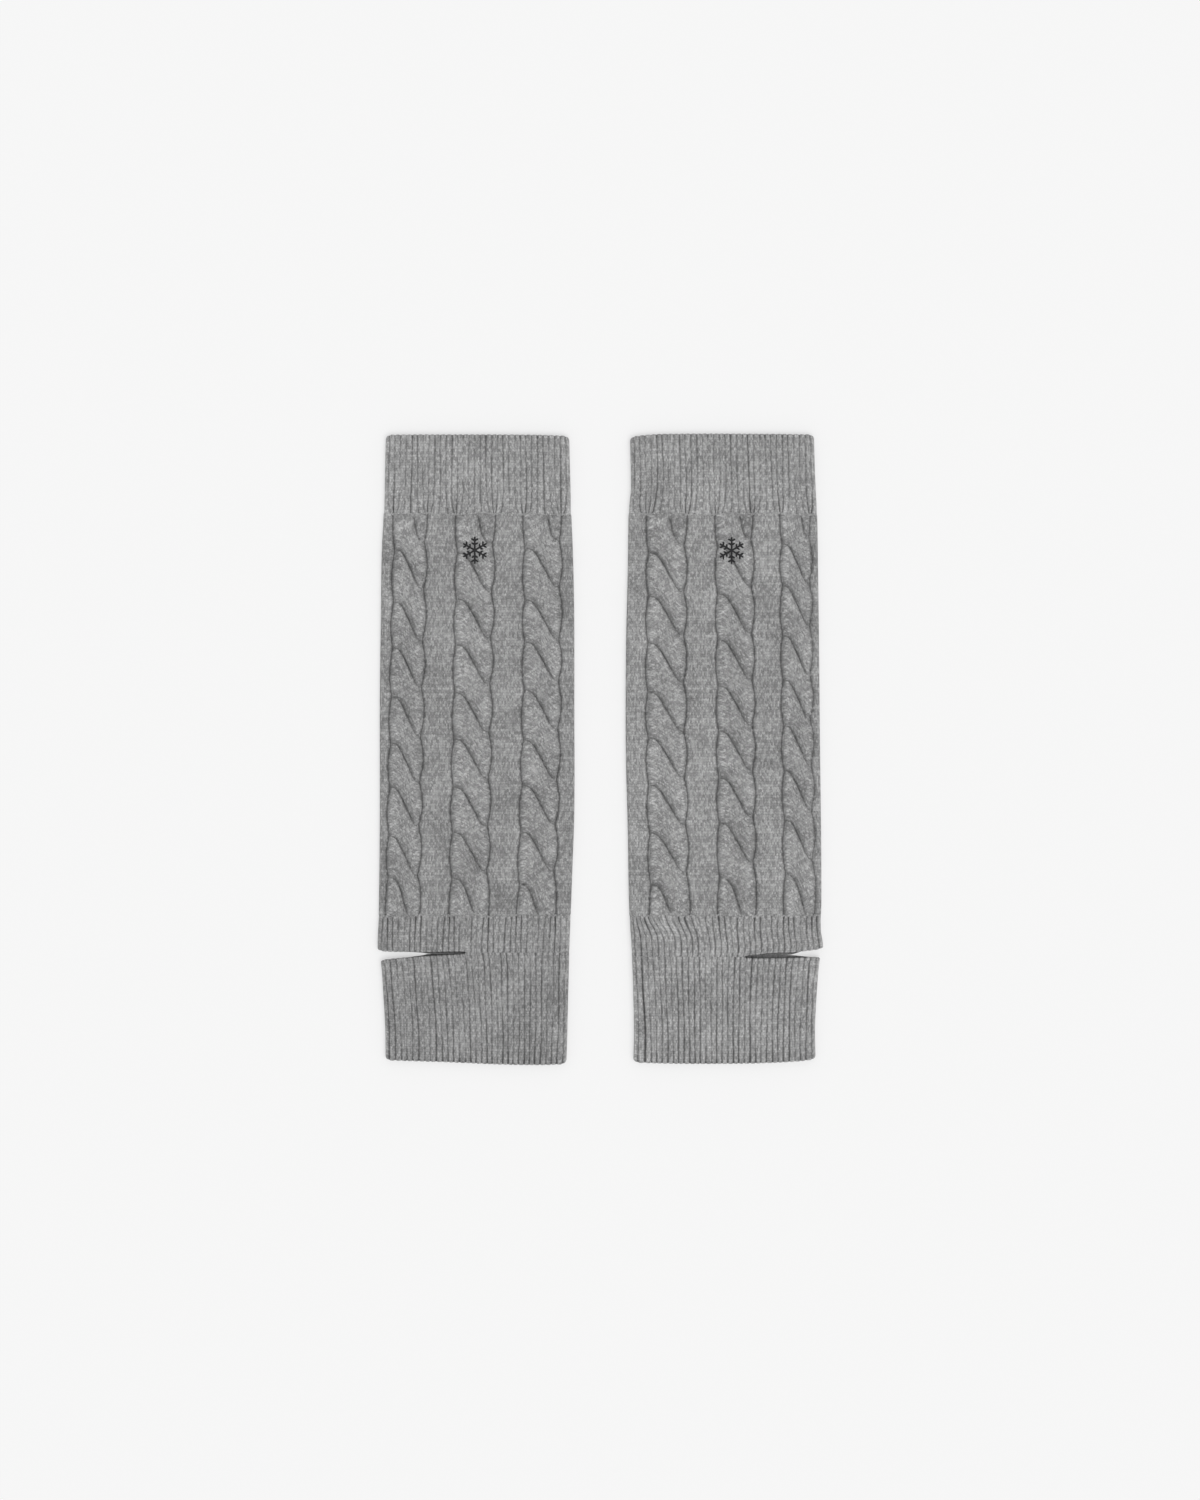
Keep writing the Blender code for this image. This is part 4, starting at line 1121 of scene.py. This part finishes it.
def satin_tree():
    tree, sizes = start_tree("satin stitches", {
        "Thread spacing": THREAD_SPACING * MM, "Thread length": THREAD_LENGTH * MM,
        "Thread width": THREAD_WIDTH * MM, "Taper": TAPER * MM})
    tree.interface.new_socket("Knit", in_out="INPUT", socket_type="NodeSocketObject")
    path = add(tree, "GeometryNodeMeshToCurve", sizes)
    path = add(tree, "GeometryNodeResampleCurve", path, mode="LENGTH",
               named={"Length": sizes.outputs["Thread spacing"]})
    tangent = add(tree, "GeometryNodeInputTangent")
    turned = add(tree, "FunctionNodeAlignRotationToVector", axis="Y", named={"Vector": tangent})
    thread = add(tree, "GeometryNodeMeshCylinder", named={
        "Vertices": 8, "Side Segments": 4, "Radius": 0.5, "Depth": 1.0})
    thread = add(tree, "GeometryNodeTransform", thread, named={"Rotation": (0.0, pi / 2, 0.0)})
    run, whole = (add(tree, kind) for kind in (
        "GeometryNodeSplineParameter", "GeometryNodeSplineLength"))
    to_end = add(tree, "ShaderNodeMath", whole, run.outputs["Length"], operation="SUBTRACT")
    full = add(tree, "ShaderNodeMath", to_end, sizes.outputs["Taper"], operation="DIVIDE",
               use_clamp=True)
    part = add(tree, "ShaderNodeMath", full, 1 - END_STITCH, END_STITCH, operation="MULTIPLY_ADD")
    length = add(tree, "ShaderNodeMath", part, sizes.outputs["Thread length"],
                 operation="MULTIPLY")
    size = add(tree, "ShaderNodeCombineXYZ", length, sizes.outputs["Thread width"],
               sizes.outputs["Thread width"])
    threads = add(tree, "GeometryNodeInstanceOnPoints", path,
                  named={"Instance": thread, "Rotation": turned, "Scale": size})
    threads = add(tree, "GeometryNodeRealizeInstances", threads)
    place = add(tree, "GeometryNodeInputPosition")
    flat = add(tree, "ShaderNodeVectorMath", place, (1.0, 1.0, 0.0), operation="MULTIPLY")
    start = add(tree, "ShaderNodeVectorMath", flat, (0.0, 0.0, ABOVE_CLOTH), operation="ADD")
    knit = add(tree, "GeometryNodeObjectInfo", sizes.outputs["Knit"])
    hit = add(tree, "GeometryNodeRaycast", knit.outputs["Geometry"], named={
        "Source Position": start, "Ray Direction": (0.0, 0.0, -1.0), "Ray Length": 2 * ABOVE_CLOTH})
    up = add(tree, "ShaderNodeSeparateXYZ", hit.outputs["Hit Position"])
    drop = add(tree, "ShaderNodeCombineXYZ", named={"Z": up.outputs["Z"]})
    laid = add(tree, "GeometryNodeSetPosition", threads, named={"Offset": drop})
    smoothed = add(tree, "GeometryNodeSetShadeSmooth", laid)
    end_tree(tree, smoothed, sizes)
    return tree


black_thread, tree = new_material("black satin embroidery thread")
shader = add(tree, "ShaderNodeBsdfPrincipled", named={
    "Base Color": srgb("#1C1C1E"), "Roughness": 0.55, "Specular IOR Level": 0.4, "IOR": 1.5,
    "Sheen Weight": 0.1})  # dyed black, with the soft gloss of rayon
add(tree, "ShaderNodeOutputMaterial", shader)


def motif_piece(warmer):
    """A snowflake: six arms with two pairs of twigs each."""
    points, edges = [], []

    def line(start, end):
        points.extend([start, end])
        edges.append((len(points) - 2, len(points) - 1))

    centre_x, centre_y = MOTIF_PLACES[warmer.name]
    centre = complex(centre_x + warmer.middle, centre_y)
    for arm in range(6):
        way = np.exp(1j * (pi / 2 + arm * pi / 3))
        line(centre + MOTIF_START * way, centre + MOTIF_RADIUS * way)
        for out, length in TWIGS:
            for bend in (-1, 1):
                twig = way * np.exp(1j * bend * pi / 3)
                line(centre + out * way, centre + out * way + length * twig)
    mesh = bpy.data.meshes.new("motif")
    mesh.from_pydata([(p.real * MM, p.imag * MM, 0.0) for p in points], edges, [])
    piece = put(f"{warmer.name}_snowflake_embroidery", mesh)
    grow(piece, satin_on, material=black_thread, knit=legs[warmer.name][0])
    print(piece.name, round(len(piece.data.loops) / 2), "triangles")
    return piece


satin_on = satin_tree()
motifs = {warmer.name: motif_piece(warmer) for warmer in (LEFT, RIGHT)}

# %% [markdown]
# ## Declaring the pieces
#
# Each piece, and what is sewn on it, is attached to the root body, and the CAD part that the
# piece stands for is hidden.

# %% Declarations
for warmer in (LEFT, RIGHT):
    for part, slot_name in (("top_cuff", "grey_rib_knit"), ("leg", "grey_cable_knit"),
                            ("ankle_rib", "grey_rib_knit"), ("foot_rib", "grey_rib_knit")):
        piece, flat = legs[warmer.name] if part == "leg" else ribbed[warmer.name, part]
        sewn_on = {"leg": [chains[warmer.name, "top"], chains[warmer.name, "ankle"],
                           motifs[warmer.name]],
                   "ankle_rib": [chains[warmer.name, "slot"]]}.get(part, [])
        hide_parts(f"{warmer.name}_{part}")
        for item in [piece, *sewn_on]:
            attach(item, "root")
